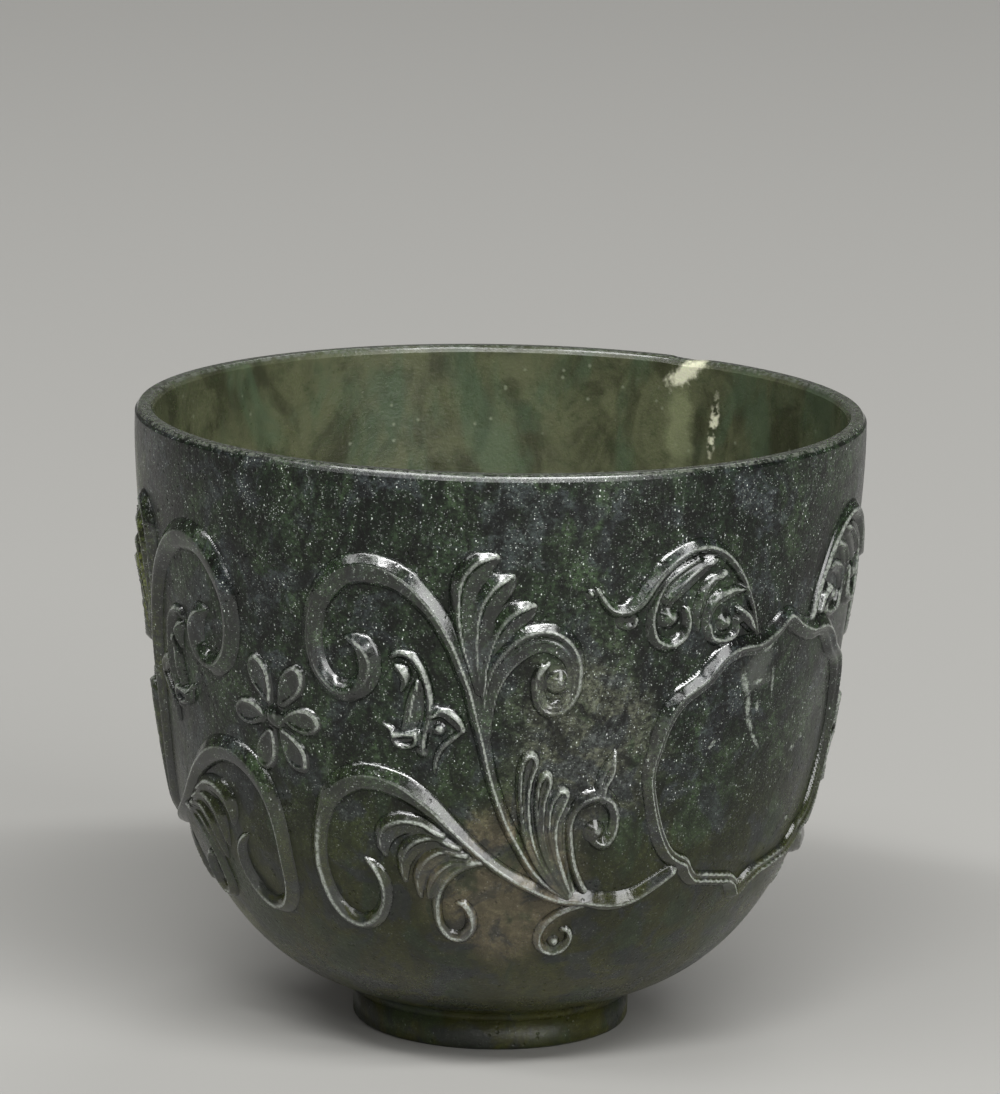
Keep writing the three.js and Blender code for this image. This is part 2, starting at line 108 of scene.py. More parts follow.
# The photograph's frame and the place in it of the middle of the cup's axis, in its pixels
PHOTO_WIDTH, PHOTO_HEIGHT = 1000, 1094
CUP_PIXEL = (495.4, 711.6)
FOCAL_PIXELS = 5781
VIEW_AZIMUTH = math.radians(-51.96)
VIEW_ELEVATION = math.radians(13.45)
VIEW_ROLL = math.radians(1.04)
VIEW_DISTANCE = 576 * MM
SENSOR = 36.0

# The lamps: turn from the camera's side and rise, in degrees, size wide and high, and power
LAMPS = {
    "Key": (16, 54, (3.2, 0.36), 80),
    "High left": (-34, 54, (2.6, 0.32), 38),
    "Right": (38, 24, (1.2, 2.5), 42),
    "Low": (8, 22, (3, 0.3), 12),
    "Left": (-74, 40, (0.9, 0.5), 5),
    "Back": (160, 50, (1.2, 1.2), 10),
}
LAMP_DISTANCE = 2.9
FLOOR_REACH = 4.0
WORLD_COLOUR = (1.0, 0.98, 0.93, 1)
WORLD_STRENGTH = 0.12


# Values that a user would change


class CupCarving(bpy.types.PropertyGroup):
    relief: FloatProperty(
        name="Relief", description="How far the carving stands out of the wall",
        default=0.9 * MM, min=0.2 * MM, max=2 * MM, unit="LENGTH", precision=5,
    )
    cell: FloatProperty(
        name="Cell", description="Grid spacing of the carved surfaces, in millimetres",
        default=0.16, min=0.08, max=0.5,
    )
    turns: IntProperty(
        name="Facets", description="Facets round the bowl", default=360, min=24, max=480,
    )
    chip: FloatProperty(
        name="Rim chip", description="Depth of the worn place where the pale vein meets the lip",
        default=0.2 * MM, min=0.0, max=1 * MM, unit="LENGTH", precision=5,
    )


class CupColours(bpy.types.PropertyGroup):
    deep: FloatVectorProperty(
        name="Deep green", description="The stone's dark clouds", subtype="COLOR",
        default=(0.003, 0.006, 0.003), min=0.0, max=1.0,
    )
    spinach: FloatVectorProperty(
        name="Spinach green", description="The stone's ground colour", subtype="COLOR",
        default=(0.009, 0.0155, 0.0072), min=0.0, max=1.0,
    )
    slate: FloatVectorProperty(
        name="Slate", description="The blue-grey mottles", subtype="COLOR",
        default=(0.017, 0.02, 0.022), min=0.0, max=1.0,
    )
    # Partly the stone's own warmer tone, partly a painted glow of light through the thin stone low on the
    # bowl
    olive_and_glow: FloatVectorProperty(
        name="Olive", description="The lighter, warmer stone low on the bowl", subtype="COLOR",
        default=(0.034, 0.035, 0.007), min=0.0, max=1.0,
    )
    # Painted light: the cavity's stone is painted lighter, as if lit through the mouth
    cavity: FloatVectorProperty(
        name="Cavity", description="The lit stone inside the cup", subtype="COLOR",
        default=(0.084, 0.091, 0.049), min=0.0, max=1.0,
    )
    vein: FloatVectorProperty(
        name="Pale vein", description="The cream crust at the lip", subtype="COLOR",
        default=(0.62, 0.62, 0.46), min=0.0, max=1.0,
    )
    floor: FloatVectorProperty(
        name="Floor", description="The studio floor", subtype="COLOR",
        default=(0.35, 0.346, 0.33), min=0.0, max=1.0,
    )


# The wall


def bezier(points, steps):
    t = np.linspace(0, 1, steps + 1)[:, None]
    a, b, c, d = (np.asarray(p, float) for p in points)
    return a * (1 - t) ** 3 + 3 * b * t * (1 - t) ** 2 + 3 * c * t**2 * (1 - t) + d * t**3


def along(points):
    """Distance along a polyline at each of its points."""
    return np.concatenate([[0], np.cumsum(np.linalg.norm(np.diff(points, axis=0), axis=1))])


def resampled(points, steps):
    reach = along(points)
    even = np.linspace(0, reach[-1], steps + 1)
    return np.stack([np.interp(even, reach, column) for column in points.T], axis=1)


def outer_wall(steps):
    """The outside of the wall as (radius, height), from the axis out and up to the lip."""
    slope = np.array([math.cos(BELLY_SLOPE), math.sin(BELLY_SLOPE)])
    underside = (0, UNDERSIDE_HEIGHT), (UNDERSIDE_REACH, UNDERSIDE_HEIGHT)
    rim = (RIM_RADIUS + RIM_SWELL, HEIGHT - RIM_STRAIGHT), (RIM_RADIUS, HEIGHT - LIP_RADIUS)
    below = bezier([*underside, BELLY - BELLY_ROUNDING * slope, BELLY], WALL_STEPS)
    above = bezier([BELLY, BELLY + WALL_ROUNDING * slope, *rim], WALL_STEPS)
    return resampled(np.concatenate([below, above[1:]]), steps)


def outward(wall):
    """The wall's outward normal at each of its points."""
    run = np.gradient(wall, axis=0)
    run /= np.linalg.norm(run, axis=1)[:, None]
    return np.stack([run[:, 1], -run[:, 0]], axis=1)


def arc(centre, radius, start, end):
    """Points of a round corner, from one angle to another, in degrees."""
    turn = np.radians(np.linspace(start, end, CORNER_STEPS + 1))
    return np.stack([centre[0] + radius * np.cos(turn), centre[1] + radius * np.sin(turn)], axis=1)


def lip_edge():
    """The lip's outer edge, from the wall up to its flat top: a bevel between two tight corners."""
    points = [np.zeros(2)]
    last = 0
    for angle, radius in LIP_EDGE:
        corner = arc((0, 0), radius, last, angle)
        points.extend(points[-1] + (corner[1:] - corner[0]))
        last = angle
    return np.array(points) + (RIM_RADIUS, HEIGHT - points[-1][1])


def bowl_section():
    """The bowl's closed section from the cavity's floor, over the lip and down to the underside, and
    how far each point belongs to the cavity."""
    wall = outer_wall(SECTION_STEPS)
    share = np.linspace(0, 1, len(wall))
    thickness = LIP_THICKNESS + (FLOOR_THICKNESS - LIP_THICKNESS) * (1 - share) ** 2
    cavity = (wall - outward(wall) * thickness[:, None])[::2]
    cavity[0, 0] = 0
    edge = lip_edge()
    lip = np.concatenate([edge * (-1, 1) + (2 * RIM_RADIUS - LIP_THICKNESS, 0), edge[::-1]])
    foot_inner = FOOT_RADIUS - FOOT_WIDTH
    outside = wall[::-1][wall[::-1, 0] > FOOT_RADIUS + FOOT_FILLET]
    top, low = outside[-1], np.array([FOOT_RADIUS, SEAT_HEIGHT])
    pulls = (top - (0.6 * FOOT_FILLET, 0.25 * FOOT_FILLET), low + (0, 0.9 * FOOT_FILLET))
    fillet = bezier([top, *pulls, low], CORNER_STEPS + 2)[1:]
    underside = wall[::-1][wall[::-1, 0] < foot_inner][::3]
    underside[-1] = (0, UNDERSIDE_HEIGHT)
    pad = np.array([[foot_inner, SEAT_HEIGHT]])
    section = np.concatenate([cavity, lip, outside, fillet, pad, underside])
    inner = np.zeros(len(section))
    inner[:len(cavity)] = 1
    inner[len(cavity):len(cavity) + len(lip)] = np.linspace(1, 0, len(lip) + 2)[1:-1]
    return section, inner


def foot_section():
    inner = FOOT_RADIUS - FOOT_WIDTH
    low_inner = arc((inner + FOOT_ROUNDING, FOOT_ROUNDING), FOOT_ROUNDING, 180, 270)
    low_outer = arc((FOOT_RADIUS - FOOT_ROUNDING, FOOT_ROUNDING), FOOT_ROUNDING, 270, 360)
    top = np.array([[FOOT_RADIUS, SEAT_HEIGHT], [inner, SEAT_HEIGHT]])
    return np.concatenate([low_inner, low_outer, top])[::-1]


# Node trees


def node(tree, kind, inputs=None, **settings):
    """Adds a node, with its settings, and its inputs as values or as links."""
    made = tree.nodes.new(kind)
    for key, value in settings.items():
        setattr(made, key, value)
    for key, value in (inputs or {}).items():
        if isinstance(value, bpy.types.NodeSocket):
            tree.links.new(value, made.inputs[key])
        else:
            made.inputs[key].default_value = value
    return made


def output(tree, kind, inputs=None, **settings):
    """The first output of a new node."""
    return node(tree, kind, inputs, **settings).outputs[0]


def calc(tree, operation, *values):
    return output(tree, "ShaderNodeMath", dict(enumerate(values)), operation=operation)


def times(tree, first, second):
    return calc(tree, "MULTIPLY", first, second)


def geometry_tree(name, **sockets):
    """A tree and its inputs: the geometry, and each socket's kind and default."""
    tree = bpy.data.node_groups.new(name, "GeometryNodeTree")
    tree.interface.new_socket("Geometry", in_out="INPUT", socket_type="NodeSocketGeometry")
    for label, (kind, value) in sockets.items():
        label = label.replace("_", " ")
        socket = tree.interface.new_socket(label, in_out="INPUT", socket_type="NodeSocket" + kind)
        if value is not None:
            socket.default_value = value
    tree.interface.new_socket("Geometry", in_out="OUTPUT", socket_type="NodeSocketGeometry")
    return tree, node(tree, "NodeGroupInput").outputs


def closing_nodes(tree, geometry, material):
    """Every tree ends alike: real faces, smooth, in their material."""
    real = output(tree, "GeometryNodeRealizeInstances", {"Geometry": geometry})
    smooth = output(tree, "GeometryNodeSetShadeSmooth", {"Geometry": real})
    coated = output(tree, "GeometryNodeSetMaterial", {"Geometry": smooth, "Material": material})
    node(tree, "NodeGroupOutput", {"Geometry": coated})


def turning_tree():
    """Turns a section, drawn as (radius, minus height), into a body round Z."""
    tree, given = geometry_tree(
        "Turned body", Facets=("Int", 64), Lathe_centre=("Float", 1 * MM), Weld=("Float", 0.001 * MM),
        Material=("Material", None),
    )
    section = output(tree, "GeometryNodeMeshToCurve", {"Mesh": given["Geometry"]})
    offset = output(tree, "ShaderNodeCombineXYZ", {"X": times(tree, given["Lathe centre"], -1.0)})
    placed = output(tree, "GeometryNodeSetPosition", {"Geometry": section, "Offset": offset})
    ring = {"Resolution": given["Facets"], "Radius": given["Lathe centre"]}
    circle = output(tree, "GeometryNodeCurvePrimitiveCircle", ring)
    swept = output(tree, "GeometryNodeCurveToMesh", {"Curve": circle, "Profile Curve": placed})
    seam = {"Geometry": swept, "Distance": given["Weld"]}
    closing_nodes(tree, output(tree, "GeometryNodeMergeByDistance", seam), given["Material"])
    return tree


def laying_tree():
    """Lays a flat carving round the wall: x becomes a turn, y a way down the wall, z a lift off it."""
    tree, given = geometry_tree(
        "Carving laid on a wall", Wall=("Object", None), Middle=("Float", CARTOUCHE_X * MM),
        Quarter=("Float", (CARTOUCHE_X - FLOWER_X) * MM), Lip=("Float", LIP_RADIUS),
        Side=("Float", 1.0), Front=("Float", 1.0), Material=("Material", None),
    )

    def parts(vector):
        return node(tree, "ShaderNodeSeparateXYZ", {0: vector}).outputs

    across, down, lift = parts(output(tree, "GeometryNodeInputPosition"))
    quarters = calc(tree, "DIVIDE", calc(tree, "SUBTRACT", across, given["Middle"]), given["Quarter"])
    turn = times(tree, quarters, math.pi / 2)
    wall = node(tree, "GeometryNodeObjectInfo", {"Object": given["Wall"]}).outputs["Geometry"]
    sample = node(tree, "GeometryNodeSampleCurve", {"Curves": wall}, mode="LENGTH")
    tree.links.new(calc(tree, "SUBTRACT", down, given["Lip"]), sample.inputs["Length"])
    place, run = parts(sample.outputs["Position"]), parts(sample.outputs["Tangent"])
    radius = calc(tree, "SUBTRACT", place["X"], times(tree, run["Z"], lift))
    height = calc(tree, "ADD", place["Z"], times(tree, run["X"], lift))
    right = times(tree, radius, calc(tree, "SINE", turn))
    back = times(tree, radius, times(tree, calc(tree, "COSINE", turn), -1.0))
    flat = {"X": times(tree, right, given["Side"]), "Y": times(tree, back, given["Front"])}
    spot = output(tree, "ShaderNodeCombineXYZ", {**flat, "Z": height})
    laid = output(tree, "GeometryNodeSetPosition", {"Geometry": given["Geometry"], "Position": spot})
    flipped = output(tree, "GeometryNodeFlipFaces", {"Mesh": laid})
    signs = {0: times(tree, given["Side"], given["Front"]), 1: 0.0}
    mirrored = output(tree, "FunctionNodeCompare", signs, operation="LESS_THAN")
    facing = {"Switch": mirrored, "False": laid, "True": flipped}
    closing_nodes(tree, output(tree, "GeometryNodeSwitch", facing), given["Material"])
    return tree


def made_by(tree, source, name, values):
    """Runs a tree on a mesh with these inputs, and returns the result as a plain object."""
    modifier = source.modifiers.new(tree.name, "NODES")
    modifier.node_group = tree
    for item in tree.interface.items_tree:
        if item.in_out == "INPUT" and item.name in values:
            modifier[item.identifier] = values[item.name]
    graph = bpy.context.evaluated_depsgraph_get()
    mesh = bpy.data.meshes.new_from_object(source.evaluated_get(graph), depsgraph=graph)
    source.modifiers.remove(modifier)
    mesh.name = name
    piece = bpy.data.objects.new(name, mesh)
    bpy.context.scene.collection.objects.link(piece)
    return piece


def helper(name, data):
    """An object that only feeds a tree, deleted once the tree has run."""
    made = bpy.data.objects.new(name, data)
    bpy.context.scene.collection.objects.link(made)
    return made


def drop(made):
    data = made.data
    bpy.data.objects.remove(made)
    if isinstance(data, bpy.types.Mesh):
        bpy.data.meshes.remove(data)
    else:
        bpy.data.curves.remove(data)


def store(mesh, label, values):
    """Keeps a number at each vertex, for the materials to read."""
    kept = mesh.attributes.new(label, "FLOAT", "POINT").data
    kept.foreach_set("value", values.astype(np.float32))


def turned(section, name, material, inner=None):
    """Turns a section, which closes on itself unless it starts and ends on the axis."""
    mesh = bpy.data.meshes.new(name + "_section")
    count = len(section)
    edges = [(i, i + 1) for i in range(count - 1)]
    if section[0, 0] > ON_AXIS:
        edges.append((count - 1, 0))
    mesh.from_pydata([(r, -z, 0) for r, z in section], edges, [])
    if inner is not None:
        store(mesh, "inner", inner)
    source = helper(name + "_section", mesh)
    facets = bpy.context.scene.cup_carving.turns
    piece = made_by(turning_tree(), source, name, {"Facets": facets, "Material": material})
    drop(source)
    return piece


def chip_lip(piece, depth):
    """Wears the lip down where the pale vein crosses it: a wide dip with a small one beside it."""
    spots = np.empty(3 * len(piece.data.vertices), np.float32)
    piece.data.vertices.foreach_get("co", spots)
    x, y, z = spots.reshape(-1, 3).T
    beside = (y - VEIN_CENTRE[1]) / VEIN_REACH
    dip = np.exp(-(beside**2)) + 0.5 * np.exp(-(((beside - 1.1) / 0.35) ** 2))
    dip *= (x > 0) * np.clip((z - HEIGHT + LIP_THICKNESS) / LIP_THICKNESS, 0, 1)
    z -= depth * dip
    piece.data.vertices.foreach_set("co", spots)
    piece.data.update()


def fitted(piece, slot, *nodes):
    """Hands a finished piece to the frame in place of its CAD nodes."""
    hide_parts(*nodes)
    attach(piece, BODY)


# Carving in relief

# A stroke is its form and a list of (x, y, width) on the sheet, in millimetres, joined by a smooth
# curve. A form gives the height, in reliefs, of spots that are this far inside the stroke's edge, on
# this side of its run, from -1 on the left to 1 on the right, and at this share of its length.

PATH_STEP = 0.12
SPAN_POINTS = 24
FAR_OUTSIDE = -9.0
CHUNK = 4_000_000  # how many spots times steps are measured at once
MARGIN_CELLS = 4

# The pale wear and painted highlight on the crests: the curve where they set in and the range they grow
# over, per millimetre, the wear's share on every crest, and the painted highlight added on those that
# face up and right
WEAR_GLINT_SMOOTHING = 6
WEAR_GLINT_CURVE, WEAR_GLINT_RANGE = 1.0, 1.2
WEAR_EVEN, GLINT_UP, GLINT_RIGHT = 0.42, 0.35, 0.4
# Neither wear nor painted highlight below this height, in millimetres
WEAR_GLINT_LOWEST = 0.12  # no wear below this height, in millimetres


def smooth_path(points, closed=False):
    """An even polyline through the points, by centripetal Catmull-Rom curves."""
    knots = np.asarray(points, float)
    if closed:
        knots = np.concatenate([knots[-1:], knots, knots[:2]])
    else:
        knots = np.concatenate([[2 * knots[0] - knots[1]], knots, [2 * knots[-1] - knots[-2]]])
    pieces = []
    for a, b, c, d in zip(knots, knots[1:], knots[2:], knots[3:]):
        t0 = 0.0
        t1 = t0 + math.sqrt(np.linalg.norm(b - a))
        t2 = t1 + math.sqrt(np.linalg.norm(c - b))
        t3 = t2 + math.sqrt(np.linalg.norm(d - c))
        t = np.linspace(t1, t2, SPAN_POINTS, endpoint=False)[:, None]
        ab = (t1 - t) / (t1 - t0) * a + (t - t0) / (t1 - t0) * b
        bc = (t2 - t) / (t2 - t1) * b + (t - t1) / (t2 - t1) * c
        cd = (t3 - t) / (t3 - t2) * c + (t - t2) / (t3 - t2) * d
        abc = (t2 - t) / (t2 - t0) * ab + (t - t0) / (t2 - t0) * bc
        bcd = (t3 - t) / (t3 - t1) * bc + (t - t1) / (t3 - t1) * cd
        pieces.append((t2 - t) / (t2 - t1) * abc + (t - t1) / (t2 - t1) * bcd)
    path = np.concatenate(pieces + [knots[-2:-1]])
    return resampled(path, max(4, int(along(path)[-1] / PATH_STEP)))


def measured(path, spots):
    """For each spot: how far inside the stroke's edge it lies, its side from -1 to 1, and its share
    of the way along."""
    inside = np.full(len(spots), FAR_OUTSIDE)
    side = np.zeros(len(spots))
    share = np.zeros(len(spots))
    reach = path[:, 2].max() / 2 + 1.0
    low, high = path[:, :2].min(0) - reach, path[:, :2].max(0) + reach
    near = np.flatnonzero(((spots >= low) & (spots <= high)).all(axis=1))
    starts, ends = path[:-1], path[1:]
    run = ends[:, :2] - starts[:, :2]
    square = (run**2).sum(1)
    for chunk in np.array_split(near, max(1, len(near) * len(run) // CHUNK)):
        gap = spots[chunk][:, None, :] - starts[None, :, :2]
        way = np.clip((gap * run).sum(2) / square, 0, 1)
        miss = gap - way[:, :, None] * run
        far = (miss**2).sum(2)
        half = (starts[:, 2] + way * (ends[:, 2] - starts[:, 2])) / 2
        best = (np.sqrt(far) / half).argmin(1)
        rows = np.arange(len(chunk))
        distance, half = np.sqrt(far[rows, best]), half[rows, best]
        turn = run[best, 0] * gap[rows, best, 1] - run[best, 1] * gap[rows, best, 0]
        inside[chunk] = half - distance
        side[chunk] = np.sign(turn) * np.minimum(distance / half, 1)
        share[chunk] = (best + way[rows, best]) / len(run)
    return inside, side, share


def ease(value, low, high):
    t = np.clip((value - low) / (high - low), 0, 1)
    return t * t * (3 - 2 * t)


def shoulder(inside, width, power=2.0):
    """Rises from 0 at the stroke's edge to 1 a width inside it, and falls on outside it."""
    risen = 1 - (1 - np.clip(inside / width, 0, 1)) ** power
    return np.where(inside < 0, inside * power / width, risen)


def chamfer(inside, step, slope):
    """A steep step at the stroke's edge, then a chamfer of this slope, per millimetre, up to 1."""
    sloped = step + (inside - step / STEEP) * slope
    return np.minimum(np.minimum(inside * STEEP, sloped), 1)


def right_scroll(inside, side, share):
    """A band with a wide chamfer on the right of its run and a narrow one above a step on the left,
    where its top slopes down."""
    right = ease(side, -0.35, 0.1)
    top = 1 - 0.3 * ease(-side, -0.2, 0.95)
    return chamfer(inside, 0.6 - 0.42 * right, 0.95 - 0.15 * right) * top


def left_scroll(inside, side, share):
    return right_scroll(inside, -side, share)


def double_band(inside, side, share):
    """A wide band with its bold edge on the left and a finer second ridge along its middle."""
    bold = 1 - np.abs(side + 0.42) / 0.75
    fine = 0.66 - 2.2 * np.abs(side - 0.22)
    edge = 0.52 - 2.0 * np.abs(side - 0.85)
    ridges = np.maximum(np.maximum(bold, 0.3), np.maximum(fine, edge))
    return np.minimum(chamfer(inside, 0.2, 0.85), ridges)


def grooved_band(inside, side, share):
    """The frame's band: a bold bevel outside, a finer one inside and a shallow groove between."""
    outer = ease(side, -0.3, 0.2)
    band = chamfer(inside, 0.45 - 0.22 * outer, 1.1 - 0.28 * outer)
    return band * (1 - 0.35 * np.exp(-(((side + 0.36) / 0.2) ** 2)))


def ridge(inside, side, share):
    """A narrow ridge with a fine crest."""
    return chamfer(inside, 0.25, 0.9)


def left_leaf(inside, side, share):
    """A scale with a chamfered crest on the left of its run, scooped towards the right."""
    scoop = 0.62 * ease(side, -0.3, 0.15) - 0.2 * ease(side, 0.3, 0.9)
    left = ease(-side, -0.2, 0.3)
    scooped = 1 - scoop * ease(share, 0.05, 0.3)
    return chamfer(inside, 0.4 - 0.22 * left, 1.1 - 0.25 * left) * scooped


def right_leaf(inside, side, share):
    return left_leaf(inside, -side, share)


def cupped(inside, side, share):
    """A petal or a lobe with a raised rim and a hollow middle."""
    return shoulder(inside, 0.45, 1.4) * (0.95 - 0.5 * ease(inside, 0.45, 0.95))


def low_petal(inside, side, share):
    """A cupped petal, worn low."""
    return 0.42 * cupped(inside, side, share)


def web(inside, side, share):
    """A low skin between leaves, which runs out towards their tips."""
    return 0.72 * shoulder(inside, 0.4) * (1 - ease(share, 0.4, 0.9)) - 0.3


def dome(inside, side, share):
    return 0.66 * shoulder(inside, 1.1, 1.5)


def knob(x, y, radius):
    """A low dome, as a stroke of hardly any length."""
    return (dome, [(x - 0.05, y, 2 * radius), (x + 0.05, y, 2 * radius)])


def carved(strokes, name, cell, relief, closed=False):
    """A flat carving in metres: the highest of its strokes on a grid, closed by a back."""
    paths = [(form, smooth_path(points, closed)) for form, points in strokes]
    everything = np.concatenate([path for _, path in paths])
    low = (everything[:, :2] - everything[:, 2:] / 2).min(0) - MARGIN_CELLS * cell
    high = (everything[:, :2] + everything[:, 2:] / 2).max(0) + MARGIN_CELLS * cell
    counts = np.ceil((high - low) / cell).astype(int) + 1
    x, y = (low[k] + cell * np.arange(counts[k]) for k in (0, 1))
    spots = np.stack(np.meshgrid(x, y, indexing="ij"), axis=-1).reshape(-1, 2)
    lift = np.full(len(spots), FAR_OUTSIDE)
    for form, path in paths:
        lift = np.maximum(lift, form(*measured(path, spots)))
    lift = np.clip(lift * relief, -RELIEF_SKIRT, None)
    return sheet_mesh(name, spots, lift, worn_and_glinting_crests(lift.reshape(counts), cell), counts)


def worn_and_glinting_crests(lift, cell):
    """How pale the carving is painted at each place: worn pale on every crest, and with a painted
    highlight, stronger, on the crests that face up and right, towards the lamps."""
    def nearby(field):
        return sum(np.roll(field, step, axis) for step in (-1, 1) for axis in (0, 1)) / 4

    soft = lift
    for _ in range(WEAR_GLINT_SMOOTHING):
        soft = (soft + nearby(soft)) / 2
    curve = 4 * (soft - nearby(soft)) / cell**2
    across, down = np.gradient(soft, cell)
    slope = np.maximum(np.hypot(across, down), 0.1)
    upward, rightward = down / slope, -across / slope
    wear_and_sheen = np.clip((curve - WEAR_GLINT_CURVE) / WEAR_GLINT_RANGE, 0, 1)
    wear_and_sheen *= WEAR_EVEN + GLINT_UP * upward + GLINT_RIGHT * rightward
    return (np.clip(wear_and_sheen, 0, 1) * (lift > WEAR_GLINT_LOWEST)).ravel()


def sheet_mesh(name, spots, lift, wear_and_sheen, counts):
    """Keeps the grid's raised cells and closes them with sides and a flat back."""
    grid = np.arange(counts[0] * counts[1]).reshape(counts)
    high = lift.reshape(counts) > -RELIEF_SKIRT + 1e-6
    kept = high[:-1, :-1] | high[1:, :-1] | high[:-1, 1:] | high[1:, 1:]
    for _ in range(MARGIN_CELLS):  # cells that only meet at a corner get a neighbour
        rising = kept[:-1, :-1] & kept[1:, 1:] & ~kept[1:, :-1] & ~kept[:-1, 1:]
        kept[1:, :-1] |= rising
        falling = kept[1:, :-1] & kept[:-1, 1:] & ~kept[:-1, :-1] & ~kept[1:, 1:]
        kept[:-1, :-1] |= falling
    corners = [grid[:-1, :-1], grid[:-1, 1:], grid[1:, 1:], grid[1:, :-1]]
    faces = np.stack([corner[kept] for corner in corners], axis=1)
    used, faces = np.unique(faces, return_inverse=True)
    faces = faces.reshape(-1, 4)
    count = len(used)
    edges = np.concatenate([faces[:, [k, (k + 1) % 4]] for k in range(4)])
    codes = edges[:, 0] * count + edges[:, 1]
    rim = edges[~np.isin(edges[:, 1] * count + edges[:, 0], codes)]
    sides = np.stack([rim[:, 1], rim[:, 0], rim[:, 0] + count, rim[:, 1] + count], axis=1)
    top = np.concatenate([spots[used], lift[used, None]], axis=1)
    back = np.concatenate([spots[used], np.full((count, 1), -RELIEF_BACK)], axis=1)
    quads = np.concatenate([faces, faces[:, ::-1] + count, sides])
    mesh = bpy.data.meshes.new(name)
    mesh.from_pydata((np.concatenate([top, back]) * MM).tolist(), [], quads.tolist())
    # The crests' pale wear and painted highlight go to the carving's material
    for label, field in (("height", np.clip(lift, 0, None)), ("wear_and_sheen", wear_and_sheen)):
        store(mesh, label, np.concatenate([field[used], np.zeros(count)]))
    return mesh


def wall_curve():
    """The wall's outside as a curve from the lip down, for laying carvings on it."""
    curve = bpy.data.curves.new("wall", "CURVE")
    curve.dimensions = "3D"
    spline = curve.splines.new("POLY")
    spots = np.zeros((WALL_STEPS + 1, 4))
    spots[:, [0, 2]] = outer_wall(WALL_STEPS)[::-1]
    spots[:, 3] = 1
    spline.points.add(WALL_STEPS)
    spline.points.foreach_set("co", spots.ravel())
    return helper("wall", curve)


def carve(name, strokes, copies, closed=False):
    """Carves a motif flat and lays it on the wall once for each copy's name, with its two mirror
    signs."""
    carving = bpy.context.scene.cup_carving
    material = bpy.data.materials.get("Carved jade") or jade("Carved jade", relief_finish, CARVED_INDEX)
    source = helper(name, carved(strokes, name, carving.cell, carving.relief / MM, closed))
    wall = wall_curve()
    tree = laying_tree()
    for copy, (side, front) in copies.items():
        values = {"Wall": wall, "Side": float(side), "Front": float(front), "Material": material}
        fitted(made_by(tree, source, "jade_" + copy, values), "jade_relief", copy)
    bpy.data.node_groups.remove(tree)
    drop(source)
    drop(wall)


# The ornament of one quarter, from the flower's middle to the cartouche's middle

LOWER_SCROLL = [
    (right_scroll, [
        (10, 42.8, 1.7), (7, 42.2, 1.9), (4.5, 41.1, 1.8), (2, 39.8, 1.6), (0, 38.5, 1.6),
        (-2, 36.9, 1.7), (-4, 35.1, 2.0), (-6, 33.3, 2.3), (-8, 31.9, 2.6), (-10, 30.85, 2.9),
        (-12.2, 30.3, 3.0), (-14.5, 30.45, 3.0), (-16.7, 31.6, 2.9), (-18.3, 33.5, 2.5),
        (-19.3, 36, 2.1), (-19.75, 39, 2.0), (-19.6, 42, 2.0), (-18.9, 44.4, 2.1), (-17.5, 46, 2.2),
        (-15.6, 46.5, 2.1), (-13.7, 45.6, 1.9), (-12.5, 43.8, 1.7), (-12.1, 41.8, 1.7),
        (-12.5, 40.2, 1.5), (-13.3, 39.3, 1.0), (-14.1, 38.8, 0.4),
    ]),
    (left_scroll, [
        (7.5, 42.4, 1.6), (10.5, 42.7, 2.0), (12.5, 43.1, 2.3), (14.5, 43.2, 2.2), (16.5, 42.7, 2.0),
        (18.5, 41.6, 1.9), (20.6, 40.2, 1.7),
    ]),
]

MAIN_SCROLL = [
    (right_scroll, [
        (8.4, 42.3, 1.2), (6.2, 40.8, 1.5), (4.3, 39, 1.6), (2.8, 36.8, 1.5), (1.4, 34.3, 1.5),
        (0.2, 31.3, 1.5), (-0.6, 28.6, 1.6), (-1.1, 26.3, 1.7), (-1.7, 23.8, 1.9), (-2.4, 21, 2.0),
        (-3.3, 18.5, 2.1), (-4.4, 15.9, 2.2), (-6.4, 12.85, 2.4), (-9.2, 10.4, 2.9), (-12, 9.5, 3.3),
        (-14.9, 9.95, 3.1), (-17.05, 11.9, 2.8), (-18.4, 14.5, 2.4), (-18.7, 17.5, 2.4),
        (-17.9, 20.2, 2.3), (-16.1, 21.75, 2.3), (-14.2, 21.6, 2.4), (-12.9, 20.3, 2.6),
        (-12.7, 18.3, 2.8), (-13.5, 16.9, 2.2), (-15, 16.4, 0.5),
    ]),
    (double_band, [
        (-1.0, 26.5, 1.2), (-0.95, 23.5, 1.6), (-0.7, 21, 2.1), (0.15, 18.6, 2.7), (1.5, 16.9, 3.0),
        (3.2, 15.75, 3.2), (4.9, 15.5, 3.2), (6.4, 16.2, 2.9), (7.4, 17.5, 2.3), (7.85, 19.2, 1.8),
        (7.6, 21.1, 1.7), (6.7, 22.4, 1.8), (5.5, 22.8, 1.8), (4.5, 22.1, 1.7), (4.05, 20.8, 1.5),
        (4.05, 19.6, 1.4), (4.5, 18.65, 1.0), (5.15, 18.15, 0.4),
    ]),
    knob(6.05, 20, 1.25),
]

SIDE_CURL = [
    (ridge, [
        (10.2, 41.6, 1.1), (9.4, 40.3, 1.1), (8.7, 38.8, 1.1), (8.3, 37.3, 1.1), (8.05, 35.8, 1.1),
        (8, 34.3, 1.2), (8.5, 32.9, 1.4), (9.7, 31.9, 1.8), (11.2, 31.6, 2.0), (12.4, 32.5, 1.6),
        (12.9, 34, 1.4), (12.7, 35.7, 1.5), (11.9, 36.6, 1.6), (10.9, 36.3, 1.3),
    ]),
    knob(10.75, 35.3, 1.2),
    (cupped, [(11.3, 32, 1.2), (11.15, 30.6, 1.5), (11.65, 29.2, 1.8), (12.1, 28, 1.1), (12.4, 27, 0.3)]),
]

